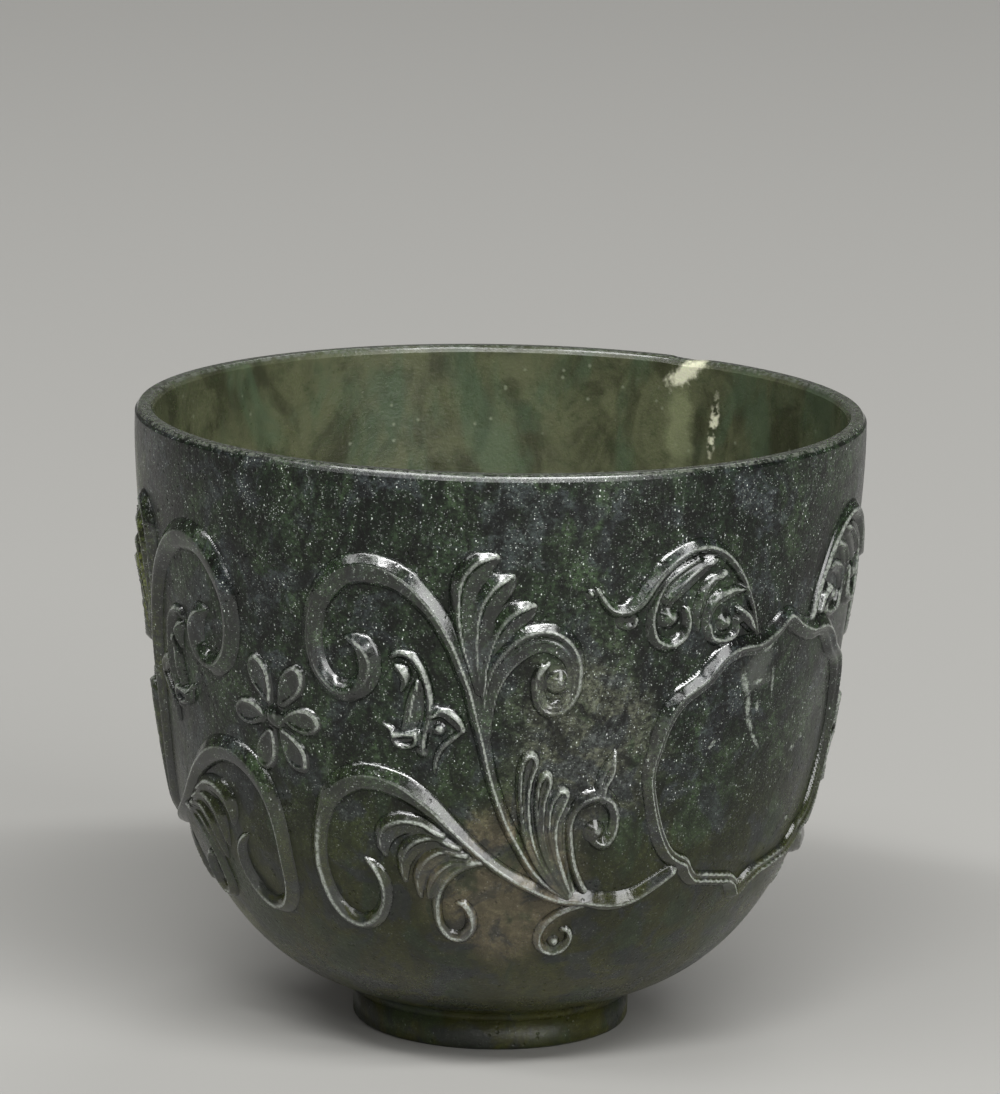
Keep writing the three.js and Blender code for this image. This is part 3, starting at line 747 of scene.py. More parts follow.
ACANTHUS_FAN = [
    (cupped, [
        (8.4, 42.2, 0.9), (6.3, 40.2, 1.3), (4.6, 37.8, 1.5), (3.6, 35.3, 1.6), (3.15, 32.5, 1.7),
        (3.1, 29.9, 2.0), (3.5, 28, 2.2), (3.7, 27.5, 1.6),
    ]),
    (cupped, [
        (8.5, 42, 0.9), (6.8, 39.6, 1.2), (5.4, 36.8, 1.4), (4.8, 34, 1.5), (4.75, 31.6, 1.8),
        (5.1, 30, 2.0), (5.3, 29.4, 1.5),
    ]),
    (cupped, [
        (8.7, 41.8, 0.9), (7.3, 39, 1.2), (6.4, 36.5, 1.4), (6.1, 34.2, 1.7), (6.5, 32.2, 2.2),
        (7, 31.3, 1.9),
    ]),
    (left_leaf, [(8.9, 41.5, 0.9), (7.8, 38.8, 1.1), (7.2, 36, 1.2), (7.2, 34.2, 1.3), (7.7, 32.9, 1.0)]),
]

UPPER_LEAVES = [
    (left_leaf, [
        (-1.9, 21, 1.0), (-2.6, 18.2, 1.6), (-3.2, 15, 2.2), (-3.3, 12, 2.7), (-2.8, 9.9, 3.1),
        (-1.6, 8.5, 2.8), (-0.3, 7.8, 1.2),
    ]),
    (left_leaf, [
        (-1.7, 21, 1.0), (-1.7, 18, 1.8), (-1.6, 15, 2.4), (-1.0, 12.4, 3.0), (0.2, 10.7, 2.9),
        (1.2, 9.8, 1.3),
    ]),
    (left_leaf, [
        (-1.3, 21.5, 1.0), (-0.8, 18.6, 1.8), (-0.1, 16.2, 2.4), (1.0, 14.2, 2.9), (2.3, 13.1, 2.7),
        (3.4, 12.5, 1.0),
    ]),
    (web, [(-2.4, 17, 1.5), (-1.9, 13, 2.4), (-0.8, 10.2, 2.8), (-0.3, 8.8, 1.6)]),
    (web, [(-1.2, 17, 1.5), (-0.4, 14, 2.4), (0.9, 11.9, 2.6), (1.3, 10.8, 1.6)]),
    (web, [(0, 17, 1.8), (1.4, 15, 2.6), (3.3, 13.8, 1.8)]),
]

CREST = [
    (left_scroll, [
        (9.5, 10.9, 0.5), (10.3, 12.2, 1.0), (11.3, 13, 1.5), (12.6, 13.1, 1.8), (13.8, 12.3, 1.9),
        (14.9, 10.8, 1.9), (16, 9.5, 1.8), (17.4, 8.3, 1.8), (19.2, 7.5, 1.8), (20.9, 7.5, 1.6),
        (22.6, 8.2, 1.4), (24.2, 9.6, 1.2), (25.6, 11.4, 1.0), (26.6, 13.2, 0.9), (27.4, 15, 0.9),
        (28, 16.9, 0.9),
    ]),
    (low_petal, [(12.5, 14.1, 2.1), (12.9, 14.2, 2.1)]),
    knob(8.9, 11.4, 0.5),
    (right_leaf, [(21.6, 8.8, 1.2), (19.9, 9.8, 1.9), (18.2, 11.1, 2.0), (16.9, 12.4, 1.5)]),
    (ridge, [
        (20, 8.7, 0.6), (18.2, 9.5, 0.8), (16.4, 10.8, 0.9), (15.4, 12.8, 1.1), (15.2, 14.6, 1.2),
        (15.8, 16.3, 1.4), (17.3, 16.9, 1.6), (18.7, 16.2, 1.4), (19.2, 14.8, 1.2), (18.9, 13.5, 0.9),
    ]),
    knob(17.1, 14.2, 1.15),
    (right_leaf, [
        (23, 10.3, 0.9), (21.7, 11, 1.5), (20.7, 12.3, 1.6), (20.3, 14, 1.3), (20.5, 15.6, 0.7),
    ]),
    (right_leaf, [
        (25.7, 12.1, 0.8), (24, 12.4, 1.4), (22.3, 13, 1.6), (21.5, 14.4, 1.3), (21.6, 15.8, 1.1),
    ]),
    (ridge, [
        (21.6, 15.4, 1.0), (22.1, 16.7, 1.1), (23.6, 17.1, 1.1), (25, 16.6, 1.0), (25.2, 15.2, 0.9),
    ]),
    knob(23.6, 15.3, 0.95),
    (cupped, [(25.2, 14.2, 0.9), (26.2, 15.2, 1.5), (27.1, 16.3, 1.0)]),
]

LOWER_LEAVES = [
    (right_leaf, [
        (-5.2, 35.6, 1.0), (-7.4, 34.8, 1.9), (-9.6, 34.7, 2.5), (-11.3, 35.5, 2.7), (-11.9, 36.8, 2.0),
        (-11.7, 38.1, 0.7),
    ]),
    (right_leaf, [
        (-3.6, 36.8, 1.0), (-6, 36.1, 1.8), (-8, 36.6, 2.3), (-9.3, 37.9, 2.2), (-9.7, 39.4, 1.5),
        (-9.6, 40.8, 0.6),
    ]),
    (right_leaf, [
        (-2.8, 37.6, 1.0), (-5, 37.4, 1.7), (-6.8, 38.3, 2.0), (-7.9, 39.9, 1.7), (-8.1, 41.4, 1.2),
        (-8, 42.6, 0.5),
    ]),
    (right_leaf, [
        (-2.2, 38.1, 1.0), (-4.2, 38.6, 1.4), (-5.9, 39.8, 1.5), (-6.8, 41.3, 1.2), (-7.1, 42.6, 0.5),
    ]),
    (ridge, [
        (-1.3, 38.2, 1.2), (-3.5, 38.9, 1.4), (-5, 40.2, 1.3), (-6, 42, 1.3), (-6.3, 44, 1.3),
        (-6, 46, 1.4), (-4.9, 47.2, 1.5), (-3.5, 47.3, 1.6), (-2.5, 46.2, 1.6), (-2.4, 44.6, 1.5),
        (-3.2, 43.2, 1.1), (-4, 43.1, 0.5),
    ]),
]

PENDANT_BUD = [
    (ridge, [
        (-10.3, 17.9, 0.7), (-9.5, 17.5, 1.1), (-8.3, 17.7, 1.3), (-7.4, 18.8, 1.3), (-6.8, 20.3, 1.2),
        (-6.5, 22, 1.2), (-6.6, 23.8, 1.2), (-7.1, 25.6, 1.0), (-7.3, 26.8, 0.9),
    ]),
    (ridge, [(-9.7, 18.9, 1.0), (-9.1, 19.3, 1.6), (-8.9, 20.1, 1.3), (-9.3, 21.2, 0.5)]),
    (right_leaf, [(-7.7, 20.3, 0.9), (-8.0, 22.2, 1.8), (-8.3, 23.8, 1.9), (-8.8, 25, 1.5)]),
    (cupped, [(-10.3, 25.6, 0.9), (-9.4, 26.1, 2.1), (-8.5, 26, 2.1), (-7.9, 25.4, 1.0)]),
    (ridge, [(-11.3, 24.7, 0.4), (-10.7, 25, 0.7), (-10.1, 25.6, 0.9)]),
    knob(-7.3, 27.3, 0.6),
    (left_leaf, [(-6.5, 23.6, 0.9), (-5.3, 23.1, 1.3), (-4, 23.8, 1.5), (-3.2, 24.9, 0.8)]),
    (ridge, [
        (-3.2, 24.8, 0.7), (-4.3, 25.8, 0.8), (-5.4, 26.8, 0.8), (-6, 28.2, 0.6), (-6.1, 29.3, 0.4),
    ]),
    knob(-5.7, 24.9, 0.8),
]

FOOT_SPIRAL = [
    (ridge, [
        (10.6, 43.3, 0.9), (8.8, 43.8, 1.0), (7.3, 44.5, 1.1), (6.1, 45.7, 1.2), (5.6, 47.2, 1.3),
        (6.1, 48.6, 1.4), (7.5, 49.2, 1.5), (8.9, 48.8, 1.3), (9.5, 47.6, 1.1), (9.1, 46.5, 0.9),
        (8.3, 46.4, 0.5),
    ]),
    knob(7.6, 48, 0.8),
]

HALF_FRAME = [
    (32, 16.15, 2.1), (30.85, 16.95, 2.2), (29.4, 17.65, 2.3), (27.9, 18.1, 2.3), (26.4, 18.05, 2.3),
    (24.9, 18.3, 2.4), (23.7, 18.9, 2.4), (22.75, 19.75, 2.4), (21.7, 20.8, 2.3), (20.5, 21.5, 2.3),
    (19.2, 22.3, 2.3), (18.2, 23.5, 2.2), (17.55, 24.9, 2.0), (17, 26.8, 1.8), (16.4, 29.2, 1.7),
    (16.4, 30.5, 1.6), (16.9, 32.7, 1.6), (17.65, 35, 1.7), (18.5, 36.8, 1.8), (19.6, 38.3, 1.8),
    (20.9, 39.2, 1.8), (22, 39.7, 1.8), (22.7, 40.6, 1.8), (23.9, 41.6, 1.8), (25.9, 42, 1.8),
    (28.1, 42.4, 1.8), (30.1, 42.8, 1.8), (31.4, 43.6, 1.9),
]

QUARTER_MOTIFS = {
    "lower_scroll": LOWER_SCROLL,
    "main_scroll": MAIN_SCROLL,
    "side_curl": SIDE_CURL,
    "acanthus_fan": ACANTHUS_FAN,
    "upper_leaves": UPPER_LEAVES,
    "crest": CREST,
    "lower_leaves": LOWER_LEAVES,
    "pendant_bud": PENDANT_BUD,
    "foot_spiral": FOOT_SPIRAL,
}
SHIFTED_MOTIFS = ("lower_scroll", "lower_leaves")
SHIFTED_QUARTER = "back_left"
QUARTERS = {
    "front_left": (1, 1), "front_right": (-1, 1), "back_left": (1, -1), "back_right": (-1, -1),
}


def shifted(strokes):
    """The strokes moved towards the flower, by nothing near the main stem and fully beyond it."""
    moved = []
    for form, points in strokes:
        x = np.array([point[0] for point in points])
        x = x - SCROLL_SHIFT * ease(-x, -SHIFT_FROM, -SHIFT_TO)
        moved.append((form, [(new, y, width) for new, (_, y, width) in zip(x, points)]))
    return moved


def frame_strokes():
    right = [(2 * CARTOUCHE_X - x, y, width) for x, y, width in reversed(HALF_FRAME)]
    tips = [(CARTOUCHE_X, 15.9, 2.0), (CARTOUCHE_X, 44.7, 2.0)]
    return [(grooved_band, [tips[0], *HALF_FRAME, tips[1], *right])]


def flower_strokes():
    """Six cupped petals round a boss."""
    strokes = [knob(FLOWER_X, FLOWER_Y, 1.3)]
    for degrees, reach in FLOWER_PETALS:
        turn = math.radians(degrees)
        strokes.append((low_petal, [
            (FLOWER_X + reach * part * math.cos(turn), FLOWER_Y + reach * part * math.sin(turn), width)
            for part, width in PETAL_WIDTHS
        ]))
    return strokes


# Jade

# Lighter patches of the stone, partly its own tone and partly a painted glow of light through its thin
# edges: middle, reach along each axis, strength and colour
STONE_AND_GLOW_PATCHES = (
    ((-0.0240, -0.0195, 0.0200), (0.010, 0.010, 0.012), 0.75, (0.105, 0.088, 0.056)),
    ((-0.0200, -0.0260, 0.0360), (0.010, 0.010, 0.013), 0.5, (0.062, 0.062, 0.046)),
    ((-0.0270, 0.0270, 0.0440), (0.012, 0.012, 0.020), 0.7, (0.075, 0.085, 0.014)),
    ((-0.0200, 0.0180, 0.0110), (0.014, 0.014, 0.007), 0.7, (0.07, 0.08, 0.02)),
)
# How strongly the worn wall and the polished carving shine, as refractive indices
WALL_INDEX = 1.4
CARVED_INDEX = 1.68
# The marks at the vein: middle, reach along each axis, lean about X, raggedness and its grain
VEIN_CRUST = (VEIN_CENTRE, np.array([3, 3.4, 1.4]) * MM, -35, 0.7, 0.9 * MM)
VEIN_LINE = (np.array([34, -1.3, 55.4]) * MM, np.array([3, 0.75, 4.2]) * MM, 5, 0.4, 0.8 * MM)
PALE_BAND = (np.array([34, 2.9, 54.6]) * MM, np.array([3, 2.4, 6]) * MM, 0, 0.5, 2 * MM)

# A healed crack in one panel, on the sheet: the ends of its stretches, and their width, in millimetres
FLAW = (
    ((26.9, 20.8), (28.1, 23.4), 0.7), ((28.1, 23.0), (28.5, 25.8), 0.55),
    ((28.4, 25.4), (29.4, 27.2), 0.5), ((29.2, 26.9), (30.8, 29.0), 0.35),
    ((31.5, 20.8), (31.9, 24.0), 0.3), ((29.5, 19.1), (31.3, 18.2), 0.5),
    ((28.6, 22.2), (30.0, 21.8), 0.4), ((29.5, 24.0), (29.8, 25.0), 0.4),
    ((23.4, 28.0), (24.3, 27.1), 0.3), ((37.6, 30.0), (37.8, 30.4), 0.6),
    ((39.3, 29.1), (39.5, 29.5), 0.5), ((39.7, 37.7), (39.9, 38.1), 0.5),
)
# The cloudy stone at its upper end: a place on the sheet, and its reach along X, Y, Z
FLAW_CLOUD = ((29.2, 20.8), np.array([2.6, 2, 3.2]) * MM)

# Tints of the stone's drifts, grains and marks; the pale grains are partly dust and partly painted glints
GREEN_DRIFT = (0.017, 0.028, 0.013)
FLECK = (0.13, 0.145, 0.13)
# Pale specks: partly dust in pits, partly painted glints off the grainy polish
FINE_DUST_GLINT = (0.32, 0.35, 0.32)
COARSE_DUST_GLINT = (0.75, 0.8, 0.75)
CAVITY_DRIFT = (0.062, 0.095, 0.055)
CAVITY_MOTTLE = (0.04, 0.052, 0.026)
CAVITY_SPOT = (0.28, 0.31, 0.22)
# Wear with a painted sheen, on the lip's top
WORN_LIP_AND_SHEEN = (0.11, 0.12, 0.1)
FLAW_HAZE = (0.085, 0.092, 0.08)
FLAW_EDGE = (0.27, 0.3, 0.26)
PALE_STONE = (0.2, 0.22, 0.12)
# Painted shade and grime in the carving's low places
LOW_CARVING_SHADE_AND_GRIME = (0.004, 0.006, 0.004)
# Pale wear with a painted highlight, on the carving's crests
WORN_AND_GLINTING_CARVING = (0.27, 0.29, 0.26)
DULL = (0.6, 0.6, 0.6)  # the crust's roughness


def coordinates(tree, stretch=(1, 1, 1), offset=(0, 0, 0)):
    place = node(tree, "ShaderNodeTexCoord").outputs["Object"]
    return output(tree, "ShaderNodeMapping", {0: place, "Location": offset, "Scale": stretch})


def height_up(tree):
    return node(tree, "ShaderNodeSeparateXYZ", {0: coordinates(tree)}).outputs["Z"]


def attribute(tree, name):
    return node(tree, "ShaderNodeAttribute", attribute_name=name).outputs["Fac"]


def noise(tree, size, detail, roughness, distortion=0.0, stretch=(1, 1, 1), offset=(0, 0, 0)):
    """Cloudy noise whose features are about a size across, in metres."""
    values = {
        "Vector": coordinates(tree, stretch, offset), "Scale": 1 / size, "Detail": detail,
        "Roughness": roughness, "Distortion": distortion,
    }
    return node(tree, "ShaderNodeTexNoise", values).outputs["Fac"]


def between(tree, value, low, high, start=0.0, end=1.0):
    """Goes smoothly from start to end as a value goes from low to high."""
    values = {0: value, 1: low, 2: high, 3: start, 4: end}
    return output(tree, "ShaderNodeMapRange", values, interpolation_type="SMOOTHSTEP")


def blended(tree, share, first, second):
    """Mixes two colours, each a socket or an (r, g, b)."""
    made = node(tree, "ShaderNodeMix", {0: share}, data_type="RGBA")
    for socket, value in ((6, first), (7, second)):
        if isinstance(value, bpy.types.NodeSocket):
            tree.links.new(value, made.inputs[socket])
        else:
            made.inputs[socket].default_value = (*value, 1)
    return made.outputs[2]


def layered(tree, colour, *layers):
    """Lays tints over a colour, each given as its share and itself."""
    for share, tint in layers:
        colour = blended(tree, share, colour, tint)
    return colour


def specks(tree, size, share, core, edge, stretch=(1, 1, 1), offset=(0, 0, 0)):
    """Round grains, one to a cell of this size, in only a share of the cells."""
    place = {"Vector": coordinates(tree, stretch, offset), "Scale": 1 / size}
    cells = node(tree, "ShaderNodeTexVoronoi", place, feature="F1")
    grain = between(tree, cells.outputs["Distance"], core, edge, 1.0, 0.0)
    pick = output(tree, "ShaderNodeSeparateColor", {0: cells.outputs["Color"]})
    return times(tree, grain, calc(tree, "LESS_THAN", pick, share))


def patch(tree, centre, reach, lean=0.0, wander=0.5, grain=1.2 * MM, tilt=0.0):
    """A ragged patch of the stone round a place: 1 at its middle, 0 outside its reach along X, Y, Z.
    It leans about X and tilts about Y, in degrees."""
    turn = (math.radians(lean), math.radians(tilt), 0)
    place = node(tree, "ShaderNodeTexCoord").outputs["Object"]
    values = {0: place, "Location": centre, "Rotation": turn, "Scale": reach}
    local = output(tree, "ShaderNodeMapping", values, vector_type="TEXTURE")
    away = node(tree, "ShaderNodeVectorMath", {0: local}, operation="LENGTH").outputs["Value"]
    ragged = calc(tree, "SUBTRACT", noise(tree, grain, 3.0, 0.6), 0.5)
    return between(tree, calc(tree, "ADD", away, times(tree, ragged, 2 * wander)), 1.0, 0.35)


def wall_spot(x, y):
    """The place on the wall, in front, of a point of the sheet."""
    wall = outer_wall(WALL_STEPS)[::-1]
    down = y * MM - LIP_RADIUS
    radius, height = (np.interp(down, along(wall), column) for column in wall.T)
    turn = (x - CARTOUCHE_X) / (CARTOUCHE_X - FLOWER_X) * math.pi / 2
    return np.array([radius * math.sin(turn), -radius * math.cos(turn), height])


def flaw(tree):
    """The crack's pale lips: 1 on them, 0 away from them."""
    total = 0.0
    for start, end, width in FLAW:
        first, last = wall_spot(*start), wall_spot(*end)
        run = last - first
        tilt = math.degrees(math.atan2(run[0], run[2]))
        reach = (0.85 * width * MM, 2 * MM, np.linalg.norm(run) / 2 + 0.2 * MM)
        stretch = patch(tree, (first + last) / 2, reach, tilt=tilt, wander=0.8, grain=0.45 * MM)
        total = calc(tree, "MAXIMUM", total, stretch)
    return total


def scaled(tree, colour, share):
    """Darkens or lightens a colour."""
    return output(tree, "ShaderNodeVectorMath", {0: colour, "Scale": share}, operation="SCALE")


def stone_colour(tree, colours):
    """Spinach jade: green, slate and black mottles, warmer stone low down with a painted glow, grit, and
    pale specks that are partly dust and partly painted glints.
    """
    height = height_up(tree)
    clouds = noise(tree, 15 * MM, 5.0, 0.62, 0.9, stretch=(1, 1, 0.45))
    dusk = noise(tree, 5.5 * MM, 5.0, 0.62, 0.8, offset=(0.11, 0.07, 0.05))
    drifts = noise(tree, 6 * MM, 4.0, 0.6, 0.8, (1, 1, 0.5), (0.4, 0.8, 0.6))
    mottles = noise(tree, 1.9 * MM, 5.0, 0.68, 0.4, stretch=(1, 1, 0.7))
    grit = noise(tree, 0.5 * MM, 4.0, 0.75, stretch=(1, 1, 1.4))
    flecks = noise(tree, 0.3 * MM, 3.0, 0.7, 0.0, (1, 1, 0.6), (0.1, 0.3, 0.9))
    # Painted glow, partly the stone's own tone: lighter olive low on the bowl
    low_down = between(tree, height, 0.038, 0.006)
    colour = layered(
        tree, colours.deep,
        (between(tree, clouds, 0.4, 0.6), colours.spinach),
        (times(tree, low_down, between(tree, clouds, 0.3, 0.6, 0.55, 1.0)), colours.olive_and_glow),
        *(
            (times(tree, patch(tree, centre, reach, grain=6 * MM), strength), tint)
            for centre, reach, strength, tint in STONE_AND_GLOW_PATCHES
        ),
        (between(tree, drifts, 0.5, 0.6, 0.0, 0.7), GREEN_DRIFT),
        (between(tree, dusk, 0.5, 0.6, 0.0, 0.7), colours.slate),
    )
    rough = between(tree, height, 0.016, 0.042)
    uneven = scaled(tree, colour, between(tree, mottles, 0.36, 0.64, 0.2, 1.7))
    uneven = scaled(tree, uneven, between(tree, grit, 0.36, 0.68, 0.4, 2.2))
    # Pale flecks and specks: partly dust in pits, partly painted glints
    dust_and_glint = between(tree, mottles, 0.38, 0.6, 0.25, 1.0)
    dust_and_glint_share = times(tree, dust_and_glint, between(tree, rough, 0, 1, 0.15, 1.0))
    fine = specks(tree, 0.27 * MM, 0.3, 0.1, 0.36, (1, 1, 1.5), (0.3, 0.1, 0.7))
    coarse = specks(tree, 0.6 * MM, 0.36, 0.05, 0.18, (1.3, 1.3, 0.8), (0.9, 0.4, 0.2))
    return layered(
        tree, colour,
        (between(tree, rough, 0, 1, 0.25, 1.0), uneven),
        (times(tree, between(tree, flecks, 0.58, 0.72), dust_and_glint_share), FLECK),
        (times(tree, fine, dust_and_glint_share), FINE_DUST_GLINT),
        (times(tree, coarse, dust_and_glint_share), COARSE_DUST_GLINT),
    )


def cavity_colour_painted_lit(tree, colours):
    """The inside of the wall: olive painted lighter as if lit, with dark clouds, greener drifts and soft
    pale spots.
    """
    clouds = noise(tree, 5 * MM, 5.0, 0.62, 0.6, (1, 1, 0.7), (0.2, 0.5, 0.1))
    drifts = noise(tree, 9 * MM, 4.0, 0.6, 0.6, (1, 1, 0.5), (0.7, 0.2, 0.3))
    mottles = noise(tree, 1.8 * MM, 5.0, 0.65)
    spots = specks(tree, 1.1 * MM, 0.12, 0.05, 0.26, offset=(0.6, 0.1, 0.4))
    return layered(
        tree, tuple(0.42 * part for part in colours.cavity),
        (between(tree, clouds, 0.36, 0.62), colours.cavity),
        (between(tree, drifts, 0.5, 0.66, 0.0, 0.6), CAVITY_DRIFT),
        (between(tree, mottles, 0.5, 0.34, 0.0, 0.45), CAVITY_MOTTLE),
        (times(tree, spots, 0.4), CAVITY_SPOT),
    )


def polish(tree, rough_low, rough_high):
    """Roughness: a worn polish that is duller in patches and along a fine grain."""
    patches = times(tree, noise(tree, 6 * MM, 5.0, 0.6), 0.6)
    grain = times(tree, noise(tree, 0.45 * MM, 3.0, 0.6), 0.4)
    return between(tree, calc(tree, "ADD", patches, grain), 0.36, 0.64, rough_low, rough_high)


def surface_bump(tree, depth, grain_share=0.7, pitted=1.2, sunk=0.0):
    """Tool ripple, fine grain, pits and a sunk place, in metres of depth."""
    ripple = noise(tree, 2.2 * MM, 3.0, 0.5)
    grain = noise(tree, 0.32 * MM, 3.0, 0.6)
    pits = specks(tree, 0.6 * MM, 0.16, 0.12, 0.38, offset=(0.5, 0.2, 0.4))
    total = calc(tree, "ADD", ripple, times(tree, grain, grain_share))
    total = calc(tree, "SUBTRACT", total, times(tree, pits, pitted))
    total = calc(tree, "SUBTRACT", total, sunk)
    return output(tree, "ShaderNodeBump", {"Distance": depth, "Height": total})


def jade(name, finish, index):
    """A jade material: finish(tree) returns its colour, roughness and normal sockets."""
    material = bpy.data.materials.new(name)
    material.use_nodes = True
    tree = material.node_tree
    tree.nodes.clear()
    colour, roughness, normal = finish(tree)
    values = {
        "Base Color": colour, "Roughness": roughness, "Normal": normal, "IOR": index,
        "Subsurface Weight": 0.2, "Subsurface Scale": 1.2 * MM, "Subsurface Radius": (0.7, 1.0, 0.5),
    }
    shader = output(tree, "ShaderNodeBsdfPrincipled", values)
    node(tree, "ShaderNodeOutputMaterial", {"Surface": shader})
    return material


def body_finish(tree):
    """The bowl: stone outside, stone in the cavity painted lighter as if lit, a lip painted paler with
    wear and a painted sheen, the vein and the crack.
    """
    colours = bpy.context.scene.cup_colours
    inner = attribute(tree, "inner")
    inside = between(tree, inner, 0.3, 0.95)
    lip = between(tree, height_up(tree), HEIGHT - 0.4 * MM, HEIGHT - 0.2 * MM)
    # The lip's top is painted paler: partly wear, partly a painted sheen where the lamps catch it
    wear_and_sheen = between(tree, noise(tree, 0.5 * MM, 3.0, 0.6), 0.42, 0.62, 0.1, 0.9)
    haze = patch(tree, wall_spot(*FLAW_CLOUD[0]), FLAW_CLOUD[1], wander=0.9, grain=1.5 * MM)
    crack = flaw(tree)
    sparkle = between(tree, noise(tree, 0.3 * MM, 3.0, 0.7), 0.4, 0.6, 0.3, 1.0)
    pale_band = times(tree, inside, patch(tree, *PALE_BAND))
    beads = times(tree, inside, between(tree, noise(tree, 0.9 * MM, 2.0, 0.5), 0.42, 0.6))
    crust = patch(tree, *VEIN_CRUST)
    colour = layered(
        tree, stone_colour(tree, colours),
        # The cavity's stone, painted lighter as if lit
        (inside, cavity_colour_painted_lit(tree, colours)),
        (times(tree, lip, wear_and_sheen), WORN_LIP_AND_SHEEN),
        (times(tree, haze, 0.6), FLAW_HAZE),
        (times(tree, crack, sparkle), FLAW_EDGE),
        (times(tree, pale_band, 0.6), PALE_STONE),
        (times(tree, beads, patch(tree, *VEIN_LINE)), colours.vein),
        (crust, colours.vein),
    )
    wall_polish, lip_polish = polish(tree, 0.24, 0.4), polish(tree, 0.05, 0.14)
    roughness = layered(tree, wall_polish, (lip, lip_polish), (crust, DULL))
    pitted = between(tree, inner, 0.5, 0.0, 0.0, 1.2)
    depth = times(tree, between(tree, lip, 0.0, 1.0, 1.0, 0.06), 0.06 * MM)
    bump = surface_bump(tree, depth, pitted=pitted, sunk=times(tree, crack, 2.5))
    return colour, roughness, bump


def relief_finish(tree):
    """The carving: painted shade and grime in its low places, and pale wear with a painted highlight
    along its crests.
    """
    # Painted shade and grime: darker towards the carving's low places
    low = between(tree, attribute(tree, "height"), 0.3, 0.0, 0.0, 0.8)
    broken = between(tree, noise(tree, 0.35 * MM, 4.0, 0.7), 0.36, 0.6, 0.25, 1.0)
    # Pale wear on every crest, plus a painted highlight on crests that face up and right
    wear_and_glint = times(tree, between(tree, attribute(tree, "wear_and_sheen"), 0.15, 0.8), broken)
    stone = stone_colour(tree, bpy.context.scene.cup_colours)
    colour = layered(tree, stone, (low, LOW_CARVING_SHADE_AND_GRIME), (wear_and_glint, WORN_AND_GLINTING_CARVING))
    return colour, polish(tree, 0.1, 0.22), surface_bump(tree, 0.04 * MM, 0.3, 0.5)


def foot_finish(tree):
    colours = bpy.context.scene.cup_colours
    return stone_colour(tree, colours), polish(tree, 0.3, 0.5), surface_bump(tree, 0.06 * MM)


# Operators


class CUP_OT_bowl(bpy.types.Operator):
    """Turn the bowl with its bevelled lip, cavity and floor"""

    bl_idname = "cup.bowl"
    bl_label = "Turn the bowl"

    def execute(self, context):
        section, inner = bowl_section()
        piece = turned(section, "jade_bowl", jade("Polished jade", body_finish, WALL_INDEX), inner)
        chip_lip(piece, context.scene.cup_carving.chip)
        fitted(piece, "jade_body", "bowl")
        return {"FINISHED"}


class CUP_OT_foot(bpy.types.Operator):
    """Turn the ring that the cup stands on"""

    bl_idname = "cup.foot"
    bl_label = "Turn the foot ring"

    def execute(self, context):
        piece = turned(foot_section(), "jade_foot_ring", jade("Satin jade", foot_finish, WALL_INDEX))
        fitted(piece, "jade_foot", "foot_ring")
        return {"FINISHED"}


class CUP_OT_scrolls(bpy.types.Operator):
    """Carve the scrolls, leaves, buds and crests of the four quarters"""

    bl_idname = "cup.scrolls"
    bl_label = "Carve the scrolls"

    def execute(self, context):
        for motif, strokes in QUARTER_MOTIFS.items():
            copies = {f"{quarter}_{motif}": signs for quarter, signs in QUARTERS.items()}
            if motif in SHIFTED_MOTIFS:
                name = f"{SHIFTED_QUARTER}_{motif}"
                carve("shifted_" + motif, shifted(strokes), {name: copies.pop(name)})
            carve(motif, strokes, copies)
        return {"FINISHED"}


class CUP_OT_cartouches(bpy.types.Operator):
    """Carve the two lobed frames"""

    bl_idname = "cup.cartouches"
    bl_label = "Carve the cartouches"

    def execute(self, context):
        copies = {"front_cartouche_frame": (1, 1), "back_cartouche_frame": (-1, -1)}
        carve("frame", frame_strokes(), copies, closed=True)
        return {"FINISHED"}


class CUP_OT_flowers(bpy.types.Operator):
    """Carve the two flowers"""

    bl_idname = "cup.flowers"
    bl_label = "Carve the flowers"

    def execute(self, context):
        carve("flower", flower_strokes(), {"left_flower": (1, 1), "right_flower": (-1, -1)})
        return {"FINISHED"}


class CUP_OT_stage(bpy.types.Operator):
    """Set the pale floor, the soft lights and the camera"""

    bl_idname = "cup.stage"
    bl_label = "Set the stage"

    def execute(self, context):
        scene = context.scene
        scene.view_settings.view_transform = "Standard"
        make_floor(scene.cup_colours.floor)
        make_world(scene)
        middle = Vector((0, 0, HEIGHT / 2))
        for name, lamp in LAMPS.items():
            make_light(name, middle, *lamp)
        make_camera(scene, middle)
        return {"FINISHED"}


# Stage


def make_floor(colour):
    mesh = bpy.data.meshes.new("floor")
    corners = [(x * FLOOR_REACH, y * FLOOR_REACH, 0) for x, y in ((-1, -1), (1, -1), (1, 1), (-1, 1))]
    mesh.from_pydata(corners, [], [(0, 1, 2, 3)])
    material = bpy.data.materials.new("Studio floor")
    material.use_nodes = True
    shader = material.node_tree.nodes["Principled BSDF"]
    shader.inputs["Base Color"].default_value = (*colour, 1)
    shader.inputs["Roughness"].default_value = 0.7
    mesh.materials.append(material)
    floor = bpy.data.objects.new("floor", mesh)
    bpy.context.scene.collection.objects.link(floor)


def make_world(scene):
    scene.world = bpy.data.worlds.new("Studio")
    scene.world.use_nodes = True
    background = scene.world.node_tree.nodes["Background"]
    background.inputs["Color"].default_value = WORLD_COLOUR
    background.inputs["Strength"].default_value = WORLD_STRENGTH


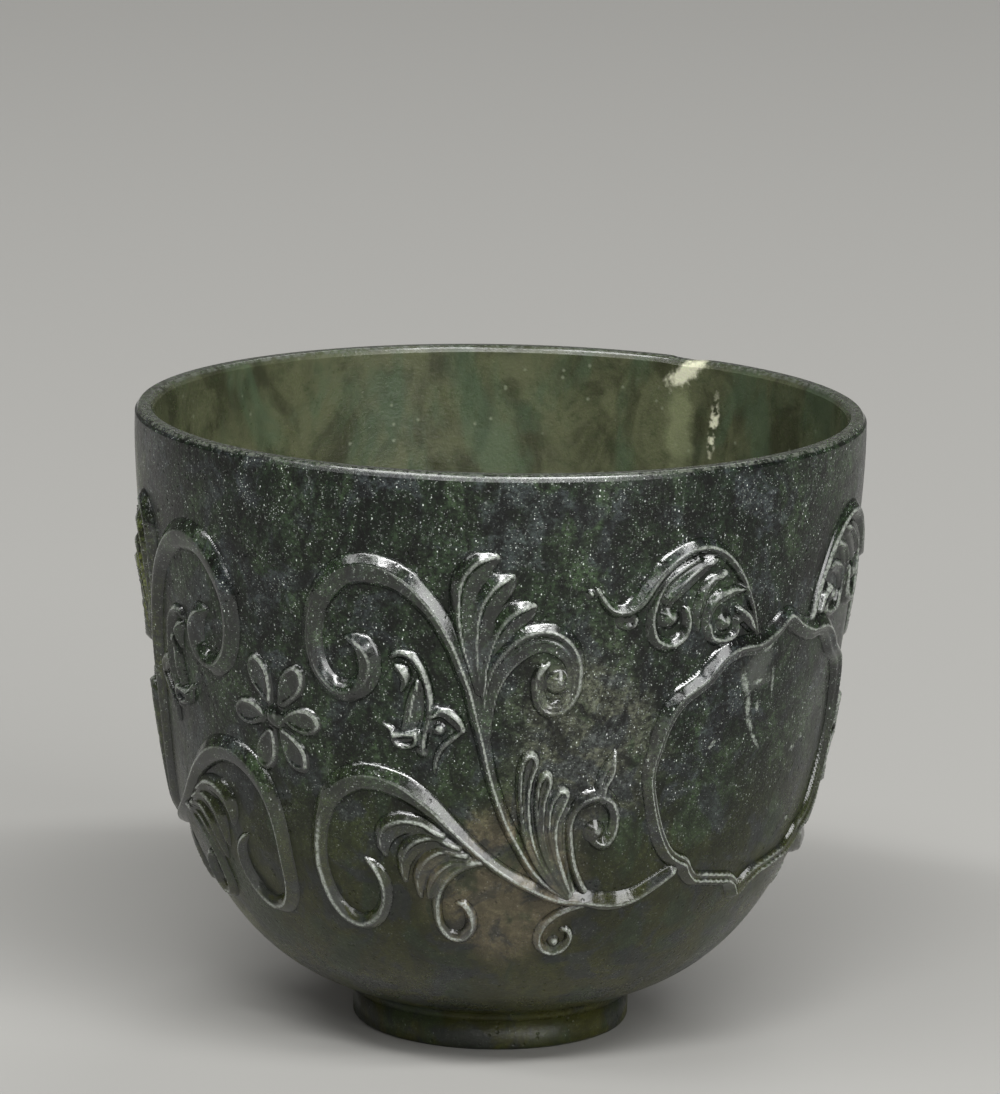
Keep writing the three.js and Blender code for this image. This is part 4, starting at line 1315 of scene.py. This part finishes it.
def make_light(name, target, turn, rise, size, power):
    """A soft light, size wide and high, placed by its turn from the camera's side and its rise, in
    degrees."""
    data = bpy.data.lights.new(name, "AREA")
    data.shape = "ELLIPSE"
    data.size, data.size_y = size
    data.energy = power
    light = bpy.data.objects.new(name, data)
    away = direction(VIEW_AZIMUTH + math.radians(turn), math.radians(rise))
    light.location = target + away * LAMP_DISTANCE
    light.rotation_euler = away.to_track_quat("Z", "Y").to_euler()
    bpy.context.scene.collection.objects.link(light)


def direction(azimuth, elevation):
    flat = math.cos(elevation)
    return Vector((math.sin(azimuth) * flat, -math.cos(azimuth) * flat, math.sin(elevation)))


def make_camera(scene, target):
    """The photograph's camera. It looks a little above the cup, as the photograph is framed."""
    data = bpy.data.cameras.new("Camera")
    data.sensor_width = SENSOR
    data.lens = FOCAL_PIXELS / PHOTO_HEIGHT * SENSOR
    data.clip_start, data.clip_end = 0.01, 20
    back = direction(VIEW_AZIMUTH, VIEW_ELEVATION)
    look = (-back).to_track_quat("-Z", "Y").to_matrix().to_4x4()
    up = math.atan((CUP_PIXEL[1] - PHOTO_HEIGHT / 2) / FOCAL_PIXELS)
    left = math.atan((CUP_PIXEL[0] - PHOTO_WIDTH / 2) / FOCAL_PIXELS)
    aim = Matrix.Rotation(VIEW_ROLL, 4, "Z") @ Matrix.Rotation(up, 4, "X") @ Matrix.Rotation(left, 4, "Y")
    camera = bpy.data.objects.new("Camera", data)
    camera.matrix_world = Matrix.Translation(target + back * VIEW_DISTANCE) @ look @ aim
    scene.collection.objects.link(camera)
    scene.camera = camera


class CUP_PT_panel(bpy.types.Panel):
    """The cup's values and its steps"""

    bl_label = "Jade cup"
    bl_space_type = "VIEW_3D"
    bl_region_type = "UI"
    bl_category = "Jade cup"

    def draw(self, context):
        for group in (context.scene.cup_carving, context.scene.cup_colours):
            box = self.layout.box()
            for name in group.bl_rna.properties.keys():
                if name not in ("rna_type", "name"):
                    box.prop(group, name)
        for step in STEPS:
            self.layout.operator(step.bl_idname)


STEPS = (CUP_OT_stage, CUP_OT_bowl, CUP_OT_foot, CUP_OT_scrolls, CUP_OT_cartouches, CUP_OT_flowers)
CLASSES = (CupCarving, CupColours, *STEPS, CUP_PT_panel)


def register():
    for one in CLASSES:
        bpy.utils.register_class(one)
    bpy.types.Scene.cup_carving = PointerProperty(type=CupCarving)
    bpy.types.Scene.cup_colours = PointerProperty(type=CupColours)


def unregister():
    del bpy.types.Scene.cup_colours
    del bpy.types.Scene.cup_carving
    for one in reversed(CLASSES):
        bpy.utils.unregister_class(one)


def main():
    register()
    bpy.ops.cup.stage()
    bpy.ops.cup.bowl()
    bpy.ops.cup.foot()
    bpy.ops.cup.scrolls()
    bpy.ops.cup.cartouches()
    bpy.ops.cup.flowers()


if __name__ == "__main__":
    main()
